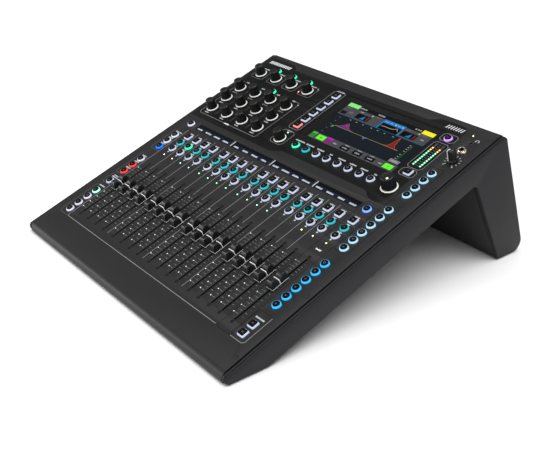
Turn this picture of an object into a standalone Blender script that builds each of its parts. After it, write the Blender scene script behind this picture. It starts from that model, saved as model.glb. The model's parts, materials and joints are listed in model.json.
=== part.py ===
"""Digital mixing console for a desk: a thin sloping control slab on a deep rear leg.

Run with: blender --background --python part.py

Everything is modelled in the panel frame, where x runs across the console, s runs up the slope of the
control panel from its front edge, and w stands out of the panel. The empty "panel_frame" tilts that
frame onto the table. Units are metres.
"""

import math

import bmesh
import bpy
from mathutils import Matrix, Vector

MM = 0.001

# ---- driving dimensions ----------------------------------------------------------------------------
TILT = math.radians(21.4)
BODY_WIDTH = 440 * MM
NOSE_TO_TABLE = 12.1 * MM  # square to the table, from the panel frame's origin down to the feet
PANEL_HALF_WIDTH = 213.3 * MM
PANEL_LENGTH = 460.4 * MM
SHEET = 1.6 * MM
CHEEK_INNER = 214.3 * MM
TOUCH_GAP = 0.35 * MM  # kept between pieces that rest on each other

FADER_COUNT = 16
FADER_PITCH = 19.67 * MM
FADER_GROUP = 4
FADER_GROUP_GAP = 4.63 * MM
FIRST_FADER_X = -166.5 * MM
MASTER_FADER_X = 165.2 * MM
FADER_TRAVEL = 100 * MM
FADER_MIDDLE_S = 115.9 * MM
FADER_REST_S = 125.4 * MM
FADER_SLOT = (2.4 * MM, 111.6 * MM)
CAP_WIDTH, CAP_LENGTH, CAP_HEIGHT = 11.8 * MM, 25.2 * MM, 10.2 * MM
CAP_LIFT = 1.8 * MM

KEY_TOP = 2.3 * MM
KEY_RADIUS = 5.5 * MM
KEY_HOLE_RADIUS = 6.4 * MM
SQUARE_KEY_HALF = 5.3 * MM
SQUARE_HOLE_HALF = 6.1 * MM
WEB_TOP, WEB_BOTTOM = -6 * MM, -7.8 * MM
WEB_HALF = 5 * MM

SHAFT_RADIUS = 3 * MM
SHAFT_HOLE_RADIUS = 3.7 * MM
SHAFT_END = -8.4 * MM
KNOB_SIDES = 12
ROUND_KEY_SIDES = 8

SCREEN = ((-26.5 * MM, 149.5 * MM), (333 * MM, 431.5 * MM))
SCREEN_LOW, SCREEN_FACE = -12 * MM, -0.5 * MM
SCREEN_RECESS = ((-18.5 * MM, 142.5 * MM), (335.4 * MM, 427.2 * MM))
SCREEN_RECESS_FLOOR = -1.3 * MM
NAME_WINDOWS = [
    (-174 * MM, -97 * MM),
    (-90.5 * MM, -12.5 * MM),
    (-7.5 * MM, 70.5 * MM),
    (76.5 * MM, 152.5 * MM),
]
NAME_S = (263.6 * MM, 275.8 * MM)
METER = ((151.2 * MM, 171.4 * MM), (360.4 * MM, 406.8 * MM))
DISPLAY_LOW, METER_FACE = -5.4 * MM, -0.15 * MM
JACK_X, JACK_S, MINI_JACK_S = 191.4 * MM, 409.4 * MM, 426.8 * MM
JACK_HOLE_RADIUS, JACK_BUSH_RADIUS, JACK_BORE_RADIUS = 4.9 * MM, 4.5 * MM, 3.3 * MM
JACK_NUT_RADIUS, JACK_NUT_TOP = 6.0 * MM, 3.4 * MM
MINI_JACK_HOLE_RADIUS, MINI_JACK_BORE_RADIUS = 2.6 * MM, 1.8 * MM

BOARD_TOP = -18 * MM
BOARD_THICKNESS = 1.6 * MM
MAIN_BOARD = ((-204 * MM, 204 * MM), (190 * MM, 436 * MM))
ENCODER_BODY_HALF = 6 * MM
FADER_CHANNEL_HALF, FADER_CHANNEL_WALL = 4.2 * MM, 1.2 * MM
FADER_BOARD_BOTTOM, FADER_BOARD_FLOOR, FADER_BOARD_TOP = -23 * MM, -21 * MM, -11 * MM
FADER_BOARD_HALF_LENGTH, FADER_BOARD_BORDER = 64 * MM, 6 * MM

XLR_RADIUS, XLR_HOLE_RADIUS = 10.4 * MM, 11.2 * MM
XLR_WALL = 1.6 * MM
XLR_PITCH = 31 * MM
XLR_MIDDLE_X = 48 * MM
XLR_COLUMNS = 8
XLR_ROWS_W = (-38 * MM, -72 * MM)
OUTPUT_COLUMNS = 4
OUTPUT_ROW_W = -106 * MM
SOCKET_DEPTH = 13 * MM
SOCKET_CARRIER = ((-74 * MM, 443 * MM, -122 * MM), (172 * MM, 447 * MM, -24 * MM))
SMALL_SOCKET_WALL, SMALL_SOCKET_DEPTH = 1.4 * MM, 11 * MM
INLET_WALL, INLET_DEPTH = 2 * MM, 12 * MM
POWER_SUPPLY = ((-202 * MM, 426 * MM, -160 * MM), (-84 * MM, 452 * MM, -60 * MM))
FLANGE = 0.4 * MM  # how far a socket stands out of the rear panel
MOUTH = 5 * MM  # how far a cutter runs on outside the face that it opens

# ---- places of the controls, (x, s) in the panel frame ----------------------------------------------


def strip_positions():
    """The x of each fader strip, in groups of four, then the master strip."""
    places = []
    for i in range(FADER_COUNT):
        places.append(FIRST_FADER_X + i * FADER_PITCH + (i // FADER_GROUP) * FADER_GROUP_GAP)
    return places + [MASTER_FADER_X]


STRIP_X = strip_positions()
MUTE_S, SELECT_S, LISTEN_S = 246.0 * MM, 231.1 * MM, 216.3 * MM
LEFT_KEYS_X = -190.1 * MM
LEFT_KEYS_S = [54.2, 68.5, 83.3, 97.9, 121.9, 146.2, 161.4, 176.3, 209.6, 224.2, 238.7, 269.1]
RIGHT_KEYS_X = 188.4 * MM
LAYER_KEYS_S = [53.7, 68.3]
MIX_KEYS_S = [102.5 + 14.85 * k for k in range(6)]  # evenly spaced, unlike the soft keys
SOFT_KEYS_S = [207.3, 222.2, 236.7, 251.5, 266.6, 281.9, 313.0, 327.9, 343.0, 357.7]
VIEW_KEY = (165.0 * MM, 269.5 * MM)
HOME_KEY = (161.4 * MM, 346.0 * MM)
LIBRARY_KEY = (160.6 * MM, 421.2 * MM)
SCREEN_ROW_S = 312.6 * MM
SCREEN_ROW_X = [(-8.2 + 19.7 * k) * MM for k in range(8)]
SCREEN_SIDE_X = -40.0 * MM
SCREEN_SIDE_S = [(345.9 + 14.96 * k) * MM for k in range(6)]
SECTION_KEYS = [
    (-172 * MM, 426 * MM),
    (-137 * MM, 426 * MM),
    (-102.5 * MM, 426 * MM),
    (-138 * MM, 384.5 * MM),
]

ENCODER_COLUMNS = [-192.3 * MM, -157.3 * MM, -122.6 * MM, -88.0 * MM]
ENCODER_ROWS = {"eq_low": 312.0 * MM, "eq_mid": 339.9 * MM, "eq_high": 367.5 * MM, "input": 409.7 * MM}
PAN_ENCODER = (-39.2 * MM, 311.6 * MM)
TOUCH_ENCODER = (161.2 * MM, 312.5 * MM)
PHONES_POT = (194.3 * MM, 389.0 * MM)

# Knob profiles, (radius, height over the panel), from the middle of the top down the outer side.
ENCODER_PROFILE = [(0, 16), (5.9, 16), (6.5, 15.3), (7.4, 3.2), (8.9, 1.4), (8.9, 0.6), (3, 0.6)]
TOUCH_PROFILE = [(0, 18.4), (7.7, 18.4), (8.5, 17.6), (9.5, 3.2), (11.2, 1.5), (11.2, 0.6), (3, 0.6)]
PHONES_PROFILE = [(0, 18.6), (2.6, 18.6), (5.1, 17), (5.6, 4), (6.4, 3.2), (6.4, 0.6), (3, 0.6)]


# ---- scene set-up ------------------------------------------------------------------------------------


def clear_scene():
    for obj in list(bpy.data.objects):
        bpy.data.objects.remove(obj)


def make_collections():
    console = bpy.data.collections.new("mixing_console")
    helpers = bpy.data.collections.new("cutters")
    for collection in (console, helpers):
        bpy.context.scene.collection.children.link(collection)
    return console, helpers


def make_panel_frame():
    """The tilted frame, standing so that the feet's undersides are at z = 0."""
    frame = bpy.data.objects.new("panel_frame", None)
    frame.rotation_euler = (TILT, 0, 0)
    frame.location = (0, 0, NOSE_TO_TABLE)
    CONSOLE.objects.link(frame)
    return frame


clear_scene()
CONSOLE, HELPERS = make_collections()
FRAME = make_panel_frame()


def material(name, colour, roughness, metallic=0.0):
    made = bpy.data.materials.new(name)
    made.use_nodes = True
    shader = made.node_tree.nodes["Principled BSDF"]
    shader.inputs["Base Color"].default_value = (*colour, 1)
    shader.inputs["Roughness"].default_value = roughness
    shader.inputs["Metallic"].default_value = metallic
    return made


PANEL_PAINT = material("panel_paint", (0.028, 0.028, 0.028), 0.55)
CHEEK_PLASTIC = material("cheek_plastic", (0.05, 0.05, 0.056), 0.38)
SHEET_METAL = material("chassis_paint", (0.035, 0.035, 0.035), 0.6, 0.2)
KNOB_PLASTIC = material("knob_plastic", (0.012, 0.012, 0.012), 0.42)
CAP_PLASTIC = material("fader_cap_plastic", (0.015, 0.015, 0.017), 0.4)
SCREEN_GLASS = material("screen_glass", (0.01, 0.012, 0.02), 0.12)
METER_LENS = material("meter_lens", (0.02, 0.06, 0.03), 0.3)
BOARD = material("circuit_board", (0.02, 0.09, 0.04), 0.5)
STEEL = material("steel", (0.45, 0.45, 0.46), 0.35, 1.0)
NICKEL = material("nickel", (0.75, 0.7, 0.62), 0.25, 1.0)
BLACK_PLASTIC = material("socket_plastic", (0.015, 0.015, 0.015), 0.45)
RUBBER = material("rubber", (0.02, 0.02, 0.02), 0.85)


# ---- shape helpers -----------------------------------------------------------------------------------


def rounded_path(corners, radii, inset=0.0, closed=False, steps=6):
    """Points along straight runs joined by arcs. The inset moves the path to the left of its direction."""
    points = [Vector(c) for c in corners]
    count = len(points)
    made = []
    for i, corner in enumerate(points):
        if not closed and i in (0, count - 1):
            along = (points[1] - points[0]) if i == 0 else (points[-1] - points[-2])
            made.append(corner + inset * left_of(along))
            continue
        before = (corner - points[i - 1]).normalized()
        after = (points[(i + 1) % count] - corner).normalized()
        made += arc_at(corner, before, after, radii[i], inset, steps)
    return made


def left_of(direction):
    return Vector((-direction.y, direction.x)).normalized()


def arc_at(corner, before, after, radius, inset, steps):
    """The arc that rounds one corner, offset by the inset, so its point count never changes."""
    turn = math.atan2(before.x * after.y - before.y * after.x, before.dot(after))
    side = 1 if turn > 0 else -1
    reach = radius * math.tan(abs(turn) / 2)
    centre = corner - before * reach + side * radius * left_of(before)
    start = -side * left_of(before)
    shown = max(radius - side * inset, 0.05 * MM)
    points = []
    for k in range(steps + 1):
        spun = start.copy()
        spun.rotate(Matrix.Rotation(turn * k / steps, 2))
        points.append(centre + shown * spun)
    return points


def link(name, mesh, look, collection=None):
    obj = bpy.data.objects.new(name, mesh)
    mesh.materials.append(look)
    (collection or CONSOLE).objects.link(obj)
    obj.parent = FRAME
    return obj


def extruded(name, outline, x_low, x_high, look, collection=None):
    """A flat (s, w) outline, extruded along x: a filled 2D curve, made a welded mesh."""
    curve = bpy.data.curves.new(name, "CURVE")
    curve.dimensions = "2D"
    curve.fill_mode = "BOTH"
    curve.extrude = (x_high - x_low) / 2
    spline = curve.splines.new("POLY")
    spline.points.add(len(outline) - 1)
    for point, (s, w) in zip(spline.points, outline):
        point.co = (s, w, 0, 1)
    spline.use_cyclic_u = True
    made = bpy.data.objects.new(name, curve)
    HELPERS.objects.link(made)
    bpy.context.view_layer.update()
    mesh = bpy.data.meshes.new_from_object(made.evaluated_get(bpy.context.evaluated_depsgraph_get()))
    bpy.data.objects.remove(made)
    # The curve's own X, Y and Z become s, w and x.
    turn = Matrix(((0, 0, 1, (x_low + x_high) / 2), (1, 0, 0, 0), (0, 1, 0, 0), (0, 0, 0, 1)))
    mesh.transform(turn)
    weld(mesh)
    return link(name, mesh, look, collection)


def weld(mesh):
    work = bmesh.new()
    work.from_mesh(mesh)
    bmesh.ops.remove_doubles(work, verts=work.verts, dist=0.002 * MM)
    bmesh.ops.recalc_face_normals(work, faces=work.faces)
    work.to_mesh(mesh)
    work.free()


def add_box(work, low, high):
    size = Vector(high) - Vector(low)
    middle = (Vector(high) + Vector(low)) / 2
    made = bmesh.ops.create_cube(work, size=1)["verts"]
    for vertex in made:
        x, s, w = vertex.co
        vertex.co = middle + Vector((x * size.x, s * size.y, w * size.z))


def add_post(work, x, s, radius, low, high, sides):
    """An upright prism on the panel's normal, with a flat side facing s."""
    place = Matrix.Translation((x, s, (low + high) / 2)) @ Matrix.Rotation(math.pi / sides, 4, "Z")
    add_prism(work, radius, high - low, sides, place)


def add_prism(work, radius, length, sides, place):
    bmesh.ops.create_cone(
        work, cap_ends=True, segments=sides, radius1=radius, radius2=radius, depth=length, matrix=place
    )


def finish_mesh(name, work, look, collection=None):
    mesh = bpy.data.meshes.new(name)
    work.to_mesh(mesh)
    work.free()
    return link(name, mesh, look, collection)


def boxes(name, corners, look, collection=None):
    work = bmesh.new()
    for low, high in corners:
        add_box(work, low, high)
    return finish_mesh(name, work, look, collection)


def helper(obj):
    obj.hide_render = True
    obj.display_type = "WIRE"
    return obj


def combine(target, other, operation):
    """A Boolean with a helper object that was modelled in the target's own frame, by the exact solver."""
    other.location = target.location
    change = target.modifiers.new(operation.lower() + "_" + other.name, "BOOLEAN")
    change.operation = operation
    change.solver = "EXACT"
    change.object = helper(other)
    return target


def bevel(obj, width, segments=2, angle=40):
    edge = obj.modifiers.new("edge", "BEVEL")
    edge.width = width
    edge.segments = segments
    edge.limit_method = "ANGLE"
    edge.angle_limit = math.radians(angle)
    return obj


def smooth(mesh):
    mesh.shade_smooth()
    mesh.set_sharp_from_angle(angle=math.radians(35))


def turned(name, profile, x, s, look, sides=KNOB_SIDES):
    """A profile in millimetres turned with a Screw on the panel's normal, its origin on the axis."""
    work = bmesh.new()
    points = [work.verts.new((radius * MM, 0, height * MM)) for radius, height in profile]
    for first, second in zip(points, points[1:]):
        work.edges.new((first, second))
    obj = finish_mesh(name, work, look)
    obj.location = (x, s, 0)
    screw = obj.modifiers.new("turn", "SCREW")
    screw.axis = "Z"
    screw.steps = screw.render_steps = sides
    screw.use_merge_vertices = True
    screw.merge_threshold = 0.01 * MM
    screw.use_smooth_shade = True
    return obj


# ---- side cheeks -------------------------------------------------------------------------------------

# Corners of the side view, (s, w), from the nose round under the slab, down the leg and up the back.
SIDE_CORNERS = [
    (0.2, -0.8),
    (0.9, -12.4),
    (53, -33),
    (396.3, -33),
    (416.8, -175.3),
    (468, -195.4),
    (460.9, -0.8),
]
SIDE_RADII = [6, 6, 30, 7, 4, 14, 6]
# The cheek's section through its thickness: (distance from its inner face, inset of its outline).
CHEEK_SECTION = [(0, 0.5), (0.5, 0), (2.9, 0), (3.3, 1.3), (3.9, 1.3), (4.2, 0.5), (4.9, 0.6), (5.7, 1.6)]
PANEL_BEND_RADII = [0, 4.5, 9, 0]
TRAY_CORNERS = [(3.4, -12.9), (53.2, -32.3), (397, -32.3), (417.4, -174.4), (467.2, -194.3), (466.4, -172.6)]
TRAY_RADII = [0, 25, 6, 3, 13.3, 0]


def in_metres(pairs):
    return [(a * MM, b * MM) for a, b in pairs]


def cheek(name, side):
    """A moulded end cheek: its outline lofted through a section with a groove round the edge."""
    work = bmesh.new()
    rings = []
    for out, inset in in_metres(CHEEK_SECTION):
        outline = rounded_path(in_metres(SIDE_CORNERS), [r * MM for r in SIDE_RADII], inset, closed=True)
        x = side * (CHEEK_INNER + out)
        rings.append([work.verts.new((x, p.x, p.y)) for p in outline])
    for near, far in zip(rings, rings[1:]):
        for k in range(len(near)):
            work.faces.new((near[k - 1], near[k], far[k], far[k - 1]))
    work.faces.new(rings[0])
    work.faces.new(rings[-1])
    bmesh.ops.recalc_face_normals(work, faces=work.faces)
    obj = finish_mesh(name, work, CHEEK_PLASTIC)
    smooth(obj.data)
    return obj


# ---- sheet-metal shell -------------------------------------------------------------------------------


def bent_sheet(name, corners, radii, half_width, look, thickness=SHEET, steps=5):
    """A bent sheet across the console. The corners are those of its outer face, body on their left."""
    outer = rounded_path(in_metres(corners), [r * MM for r in radii], 0, steps=steps)
    inner = rounded_path(in_metres(corners), [r * MM for r in radii], thickness, steps=steps)
    outline = [(p.x, p.y) for p in outer + inner[::-1]]
    return extruded(name, outline, -half_width, half_width, look)


def key_places():
    """Every key as (x, s, square), bank by bank."""
    right = [(RIGHT_KEYS_X, s * MM, True) for s in LAYER_KEYS_S]
    right += [(RIGHT_KEYS_X, s * MM, False) for s in MIX_KEYS_S + SOFT_KEYS_S]
    right += [(*VIEW_KEY, False), (*HOME_KEY, True), (*LIBRARY_KEY, False)]
    return {
        "mute_keys": [(x, MUTE_S, True) for x in STRIP_X],
        "select_keys": [(x, SELECT_S, False) for x in STRIP_X],
        "listen_keys": [(x, LISTEN_S, False) for x in STRIP_X],
        "left_column_keys": [(LEFT_KEYS_X, s * MM, False) for s in LEFT_KEYS_S],
        "right_column_keys": right,
        "screen_row_keys": [(x, SCREEN_ROW_S, False) for x in SCREEN_ROW_X],
        "screen_side_keys": [(SCREEN_SIDE_X, s, True) for s in SCREEN_SIDE_S],
        "section_in_keys": [(x, s, False) for x, s in SECTION_KEYS],
    }


def knob_places():
    """Every knob as (name, x, s, profile)."""
    knobs = []
    for row, s in ENCODER_ROWS.items():
        for column, x in enumerate(ENCODER_COLUMNS, start=1):
            knobs.append((f"{row}_knob_{column}", x, s, ENCODER_PROFILE))
    knobs.append(("pan_knob", *PAN_ENCODER, ENCODER_PROFILE))
    knobs.append(("touch_knob", *TOUCH_ENCODER, TOUCH_PROFILE))
    knobs.append(("phones_level_knob", *PHONES_POT, PHONES_PROFILE))
    return knobs


KEYS = key_places()
KNOBS = knob_places()


def panel_holes():
    """All the cut-outs of the control panel, as one object of separate solids."""
    work = bmesh.new()
    low, high = -5 * MM, 3 * MM
    half_width, half_length = FADER_SLOT[0] / 2, FADER_SLOT[1] / 2
    s_low, s_high = FADER_MIDDLE_S - half_length, FADER_MIDDLE_S + half_length
    for x in STRIP_X:
        add_box(work, (x - half_width, s_low, low), (x + half_width, s_high, high))
    for places in KEYS.values():
        for x, s, square in places:
            if square:
                half = SQUARE_HOLE_HALF
                add_box(work, (x - half, s - half, low), (x + half, s + half, high))
            else:
                add_post(work, x, s, KEY_HOLE_RADIUS, low, high, ROUND_KEY_SIDES)
    for _, x, s, _ in KNOBS:
        add_post(work, x, s, SHAFT_HOLE_RADIUS, low, high, ROUND_KEY_SIDES)
    for x_low, x_high in NAME_WINDOWS:
        add_box(work, (x_low, NAME_S[0], low), (x_high, NAME_S[1], high))
    for (x_low, x_high), (s_low, s_high) in (SCREEN, METER):
        gap = TOUCH_GAP
        add_box(work, (x_low - gap, s_low - gap, low), (x_high + gap, s_high + gap, high))
    add_post(work, JACK_X, JACK_S, JACK_HOLE_RADIUS, low, high, KNOB_SIDES)
    add_post(work, JACK_X, MINI_JACK_S, MINI_JACK_HOLE_RADIUS, low, high, ROUND_KEY_SIDES)
    return finish_mesh("panel_holes", work, STEEL, HELPERS)


def control_panel():
    """The top sheet, bent down into the rounded nose in front and over the back edge behind."""
    length = PANEL_LENGTH / MM
    corners = [(length + 0.5, -9.6), (length, 0), (0.0, 0), (0.8, -12.0)]
    panel = bent_sheet("control_panel", corners, PANEL_BEND_RADII, PANEL_HALF_WIDTH, PANEL_PAINT)
    return combine(panel, panel_holes(), "DIFFERENCE")


def chassis_tray():
    """The bottom sheet: under the slab, down the front of the leg and along its foot."""
    return bent_sheet("chassis_tray", TRAY_CORNERS, TRAY_RADII, PANEL_HALF_WIDTH, SHEET_METAL)


# ---- rear panel and its sockets ----------------------------------------------------------------------

REAR_TOP, REAR_BOTTOM = (460.9, -10.6), (466.4, -171.8)


def rear_face(w):
    """s of the rear panel's outer face at a depth w below the control panel."""
    (s_top, w_top), (s_bottom, w_bottom) = in_metres((REAR_TOP, REAR_BOTTOM))
    return s_top + (w - w_top) / (w_bottom - w_top) * (s_bottom - s_top)


def socket_places():
    """The round sockets as (x, w): two rows of inputs, then the outputs below."""
    columns = [XLR_MIDDLE_X + (k - (XLR_COLUMNS - 1) / 2) * XLR_PITCH for k in range(XLR_COLUMNS)]
    places = [(x, w) for w in XLR_ROWS_W for x in columns]
    return places + [(x, OUTPUT_ROW_W) for x in columns[-OUTPUT_COLUMNS:]]


POWER_INLET = ((-176 * MM, -146 * MM), (-150 * MM, -126 * MM))
POWER_SWITCH = ((-136 * MM, -116 * MM), (-150 * MM, -126 * MM))
NETWORK_SOCKET = ((-40 * MM, -24 * MM), (-114 * MM, -98 * MM))
USB_SOCKET = ((-10 * MM, 4 * MM), (-112 * MM, -100 * MM))


def along_s(work, x, w, radius, s_low, s_high, sides):
    """A prism with its axis along s."""
    place = Matrix.Translation((x, (s_low + s_high) / 2, w)) @ Matrix.Rotation(math.pi / 2, 4, "X")
    place = place @ Matrix.Rotation(math.pi / sides, 4, "Z")
    add_prism(work, radius, s_high - s_low, sides, place)


def rear_panel():
    sheet = bent_sheet("rear_panel", [REAR_BOTTOM, REAR_TOP], [0, 0], PANEL_HALF_WIDTH, SHEET_METAL, SHEET)
    work = bmesh.new()
    inside, outside, gap = 455 * MM, 475 * MM, TOUCH_GAP
    for x, w in socket_places():
        along_s(work, x, w, XLR_HOLE_RADIUS, inside, outside, KNOB_SIDES)
    for (x_low, x_high), (w_low, w_high) in (POWER_INLET, POWER_SWITCH, NETWORK_SOCKET, USB_SOCKET):
        add_box(work, (x_low - gap, inside, w_low - gap), (x_high + gap, outside, w_high + gap))
    return combine(sheet, finish_mesh("rear_holes", work, STEEL, HELPERS), "DIFFERENCE")


def rear_sockets():
    """The socket carrier behind the rear panel, with a shell for each socket standing in its hole."""
    carrier = boxes("rear_sockets", [SOCKET_CARRIER], BLACK_PLASTIC)
    root = SOCKET_CARRIER[1][1] - 1 * MM
    shells, bores = bmesh.new(), bmesh.new()
    for x, w in socket_places():
        lip = rear_face(w) + 0.5 * MM
        along_s(shells, x, w, XLR_RADIUS, root, lip, KNOB_SIDES)
        along_s(bores, x, w, XLR_RADIUS - XLR_WALL, lip - SOCKET_DEPTH, lip + MOUTH, KNOB_SIDES)
    for outline in (NETWORK_SOCKET, USB_SOCKET):
        shell, bore = square_socket(outline, root, SMALL_SOCKET_WALL, SMALL_SOCKET_DEPTH)
        add_box(shells, *shell)
        add_box(bores, *bore)
    combine(carrier, finish_mesh("socket_shells", shells, STEEL, HELPERS), "UNION")
    return combine(carrier, finish_mesh("socket_bores", bores, STEEL, HELPERS), "DIFFERENCE")


def square_socket(outline, root, wall, depth):
    """The shell of a rectangular socket from its root to its lip, and the bore in it."""
    (x_low, x_high), (w_low, w_high) = outline
    lip = rear_face((w_low + w_high) / 2) + FLANGE
    shell = (x_low, root, w_low), (x_high, lip, w_high)
    return shell, ((x_low + wall, lip - depth, w_low + wall), (x_high - wall, lip + MOUTH, w_high - wall))


def power_supply():
    """The power supply in the leg, with its inlet standing through the rear panel."""
    case = boxes("power_supply", [POWER_SUPPLY], STEEL)
    shell, bore = square_socket(POWER_INLET, POWER_SUPPLY[1][1] - 1 * MM, INLET_WALL, INLET_DEPTH)
    combine(case, boxes("inlet_shell", [shell], STEEL, HELPERS), "UNION")
    return combine(case, boxes("inlet_bore", [bore], STEEL, HELPERS), "DIFFERENCE")


def power_switch():
    """The mains rocker, turning on a pin across its own middle."""
    (x_low, x_high), (w_low, w_high) = POWER_SWITCH
    gap, pin_depth, root = 0.6 * MM, 1.5 * MM, -5 * MM
    half_w, half_x = (w_high - w_low) / 2 - gap, (x_high - x_low) / 2 - gap
    # A shallow V of a rocker: the upper half stands out and the lower half lies pressed in.
    face = [(-0.6 * MM, -half_w), (2.4 * MM, 0), (4.6 * MM, half_w)]
    outline = [(root, -half_w * 0.6)] + face + [(root, half_w * 0.6)]
    rocker = extruded("power_switch", outline, -half_x, half_x, BLACK_PLASTIC)
    middle_w = (w_low + w_high) / 2
    rocker.location = ((x_low + x_high) / 2, rear_face(middle_w) - pin_depth, middle_w)
    return bevel(rocker, gap, 1)


# ---- display modules ---------------------------------------------------------------------------------


def touchscreen():
    """The touchscreen module, its bezel lying just below the panel's face, in the panel's window."""
    module = boxes("touchscreen", [slab(SCREEN, SCREEN_LOW, SCREEN_FACE)], SCREEN_GLASS)
    recess = boxes("screen_recess", [slab(SCREEN_RECESS, SCREEN_RECESS_FLOOR, MOUTH)], STEEL, HELPERS)
    return combine(module, recess, "DIFFERENCE")


def slab(outline, low, high):
    """The two corners of a box over a rectangle of the panel."""
    (x_low, x_high), (s_low, s_high) = outline
    return (x_low, s_low, low), (x_high, s_high, high)


def name_display():
    """The row of strip-name displays, one glass behind the four windows."""
    border = 2 * MM
    across = (NAME_WINDOWS[0][0] - border, NAME_WINDOWS[-1][1] + border)
    along = (NAME_S[0] - border, NAME_S[1] + border)
    return boxes("name_display", [slab((across, along), DISPLAY_LOW, -SHEET - TOUCH_GAP)], SCREEN_GLASS)


def level_meter():
    return boxes("level_meter", [slab(METER, DISPLAY_LOW, METER_FACE)], METER_LENS)


def phones_sockets():
    """The headphone sockets: a body under the panel, a nut on it for the large one and a small bore."""
    outline = (183 * MM, 201 * MM), (399 * MM, 433 * MM)
    body = boxes("headphone_sockets", [slab(outline, -15 * MM, -SHEET - TOUCH_GAP)], NICKEL)
    bush, nut, bores = bmesh.new(), bmesh.new(), bmesh.new()
    add_post(bush, JACK_X, JACK_S, JACK_BUSH_RADIUS, -3 * MM, 1 * MM, KNOB_SIDES)
    add_post(nut, JACK_X, JACK_S, JACK_NUT_RADIUS, TOUCH_GAP, JACK_NUT_TOP, KNOB_SIDES)
    add_post(bores, JACK_X, JACK_S, JACK_BORE_RADIUS, -13 * MM, MOUTH, KNOB_SIDES)
    add_post(bores, JACK_X, MINI_JACK_S, MINI_JACK_BORE_RADIUS, -12 * MM, MOUTH, ROUND_KEY_SIDES)
    combine(body, finish_mesh("jack_bush", bush, STEEL, HELPERS), "UNION")
    combine(body, finish_mesh("jack_nut", nut, STEEL, HELPERS), "UNION")
    return combine(body, finish_mesh("jack_bores", bores, STEEL, HELPERS), "DIFFERENCE")


# ---- boards inside -----------------------------------------------------------------------------------


def fader_board():
    """The fader board: one bottom with a channel for each fader's carriage, as one comb section."""
    bottom, floor, top = FADER_BOARD_BOTTOM, FADER_BOARD_FLOOR, FADER_BOARD_TOP
    inner, outer = FADER_CHANNEL_HALF, FADER_CHANNEL_HALF + FADER_CHANNEL_WALL
    section = []
    for x in STRIP_X:
        section += [(x - outer, floor), (x - outer, top), (x - inner, top), (x - inner, floor)]
        section += [(x + inner, floor), (x + inner, top), (x + outer, top), (x + outer, floor)]
    start, end = STRIP_X[0] - outer - FADER_BOARD_BORDER, STRIP_X[-1] + outer + FADER_BOARD_BORDER
    section += [(end, floor), (end, bottom), (start, bottom), (start, floor)]
    half = FADER_BOARD_HALF_LENGTH
    board = extruded("fader_board", section, FADER_MIDDLE_S - half, FADER_MIDDLE_S + half, BOARD)
    # The section was drawn as (x, w) along s, so it is turned from the (s, w) along x that was made.
    board.data.transform(Matrix(((0, 1, 0, 0), (1, 0, 0, 0), (0, 0, 1, 0), (0, 0, 0, 1))))
    weld(board.data)
    return board


def main_board():
    """The control board, with the body of each encoder standing on it under its knob."""
    board = boxes("main_board", [slab(MAIN_BOARD, BOARD_TOP - BOARD_THICKNESS, BOARD_TOP)], BOARD)
    low, high, half = BOARD_TOP - 0.5 * MM, SHAFT_END - 0.6 * MM, ENCODER_BODY_HALF
    encoders = [slab(((x - half, x + half), (s - half, s + half)), low, high) for _, x, s, _ in KNOBS]
    return combine(board, boxes("encoder_bodies", encoders, STEEL, HELPERS), "UNION")


# ---- feet --------------------------------------------------------------------------------------------


FOOT_HALF_WIDTH, FOOT_THICKNESS = 190 * MM, 1.1 * MM
FRONT_FOOT, REAR_FOOT = (20 * MM, 38 * MM), (460 * MM, 478 * MM)


def foot_strip(name, near, far):
    """A rubber strip lying flat on the table, so it is turned back out of the panel's tilt."""
    corners = (-FOOT_HALF_WIDTH, near, 0), (FOOT_HALF_WIDTH, far, FOOT_THICKNESS)
    foot = boxes(name, [corners], RUBBER)
    level = Matrix.Rotation(-TILT, 4, "X") @ Matrix.Translation((0, 0, -NOSE_TO_TABLE))
    foot.data.transform(level)
    return foot


# ---- controls ----------------------------------------------------------------------------------------

CAP_SHOULDER = (2.2 * MM, 0.6 * MM)  # in from the cap's end, and down from its top
CAP_PEAK = 7.5 * MM  # in from the cap's end
CAP_VALLEY = (1.4 * MM, 4.6 * MM)  # half width of the valley's floor, and its depth
CAP_STEM = ((-0.7 * MM, -4 * MM, -15 * MM), (0.7 * MM, 4 * MM, CAP_LIFT + 1 * MM))
CAP_CARRIAGE = ((-3.4 * MM, -6 * MM, -18.6 * MM), (3.4 * MM, 6 * MM, -14 * MM))


def fader_cap(name, x):
    """A two-lobed cap on its stem, over its carriage. Its origin is on the panel, under its middle."""
    half, top = CAP_LENGTH / 2, CAP_LIFT + CAP_HEIGHT
    (shoulder_in, shoulder_down), (valley_half, valley_depth) = CAP_SHOULDER, CAP_VALLEY
    rear = [(half, CAP_LIFT), (half - shoulder_in, top - shoulder_down), (half - CAP_PEAK, top)]
    rear.append((valley_half, top - valley_depth))
    outline = rear + [(-s, w) for s, w in rear[::-1]]
    cap = extruded(name, outline, -CAP_WIDTH / 2, CAP_WIDTH / 2, CAP_PLASTIC)
    cap.location = (x, FADER_REST_S, 0)
    combine(cap, boxes(name + "_stem", [CAP_STEM], STEEL, HELPERS), "UNION")
    return combine(cap, boxes(name + "_carriage", [CAP_CARRIAGE], STEEL, HELPERS), "UNION")


def knob(name, x, s, profile):
    """A knob with its shaft, turned as one piece."""
    shaft = [(SHAFT_RADIUS / MM, SHAFT_END / MM), (0, SHAFT_END / MM)]
    return turned(name, profile + shaft, x, s, KNOB_PLASTIC)


def web(first, last):
    """The part of a rubber web that runs from one key to another."""
    (x_low, x_high), (s_low, s_high) = sorted((first[0], last[0])), sorted((first[1], last[1]))
    half = WEB_HALF
    return slab(((x_low - half, x_high + half), (s_low - half, s_high + half)), WEB_BOTTOM, WEB_TOP)


def arm(first, last):
    """A narrower run of web, so that its sides never lie in the same plane as the strip's."""
    low, high = web(first, last)
    inset = 1 * MM
    return (low[0] + inset, low[1] + inset, low[2]), (high[0] - inset, high[1] - inset, high[2])


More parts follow.
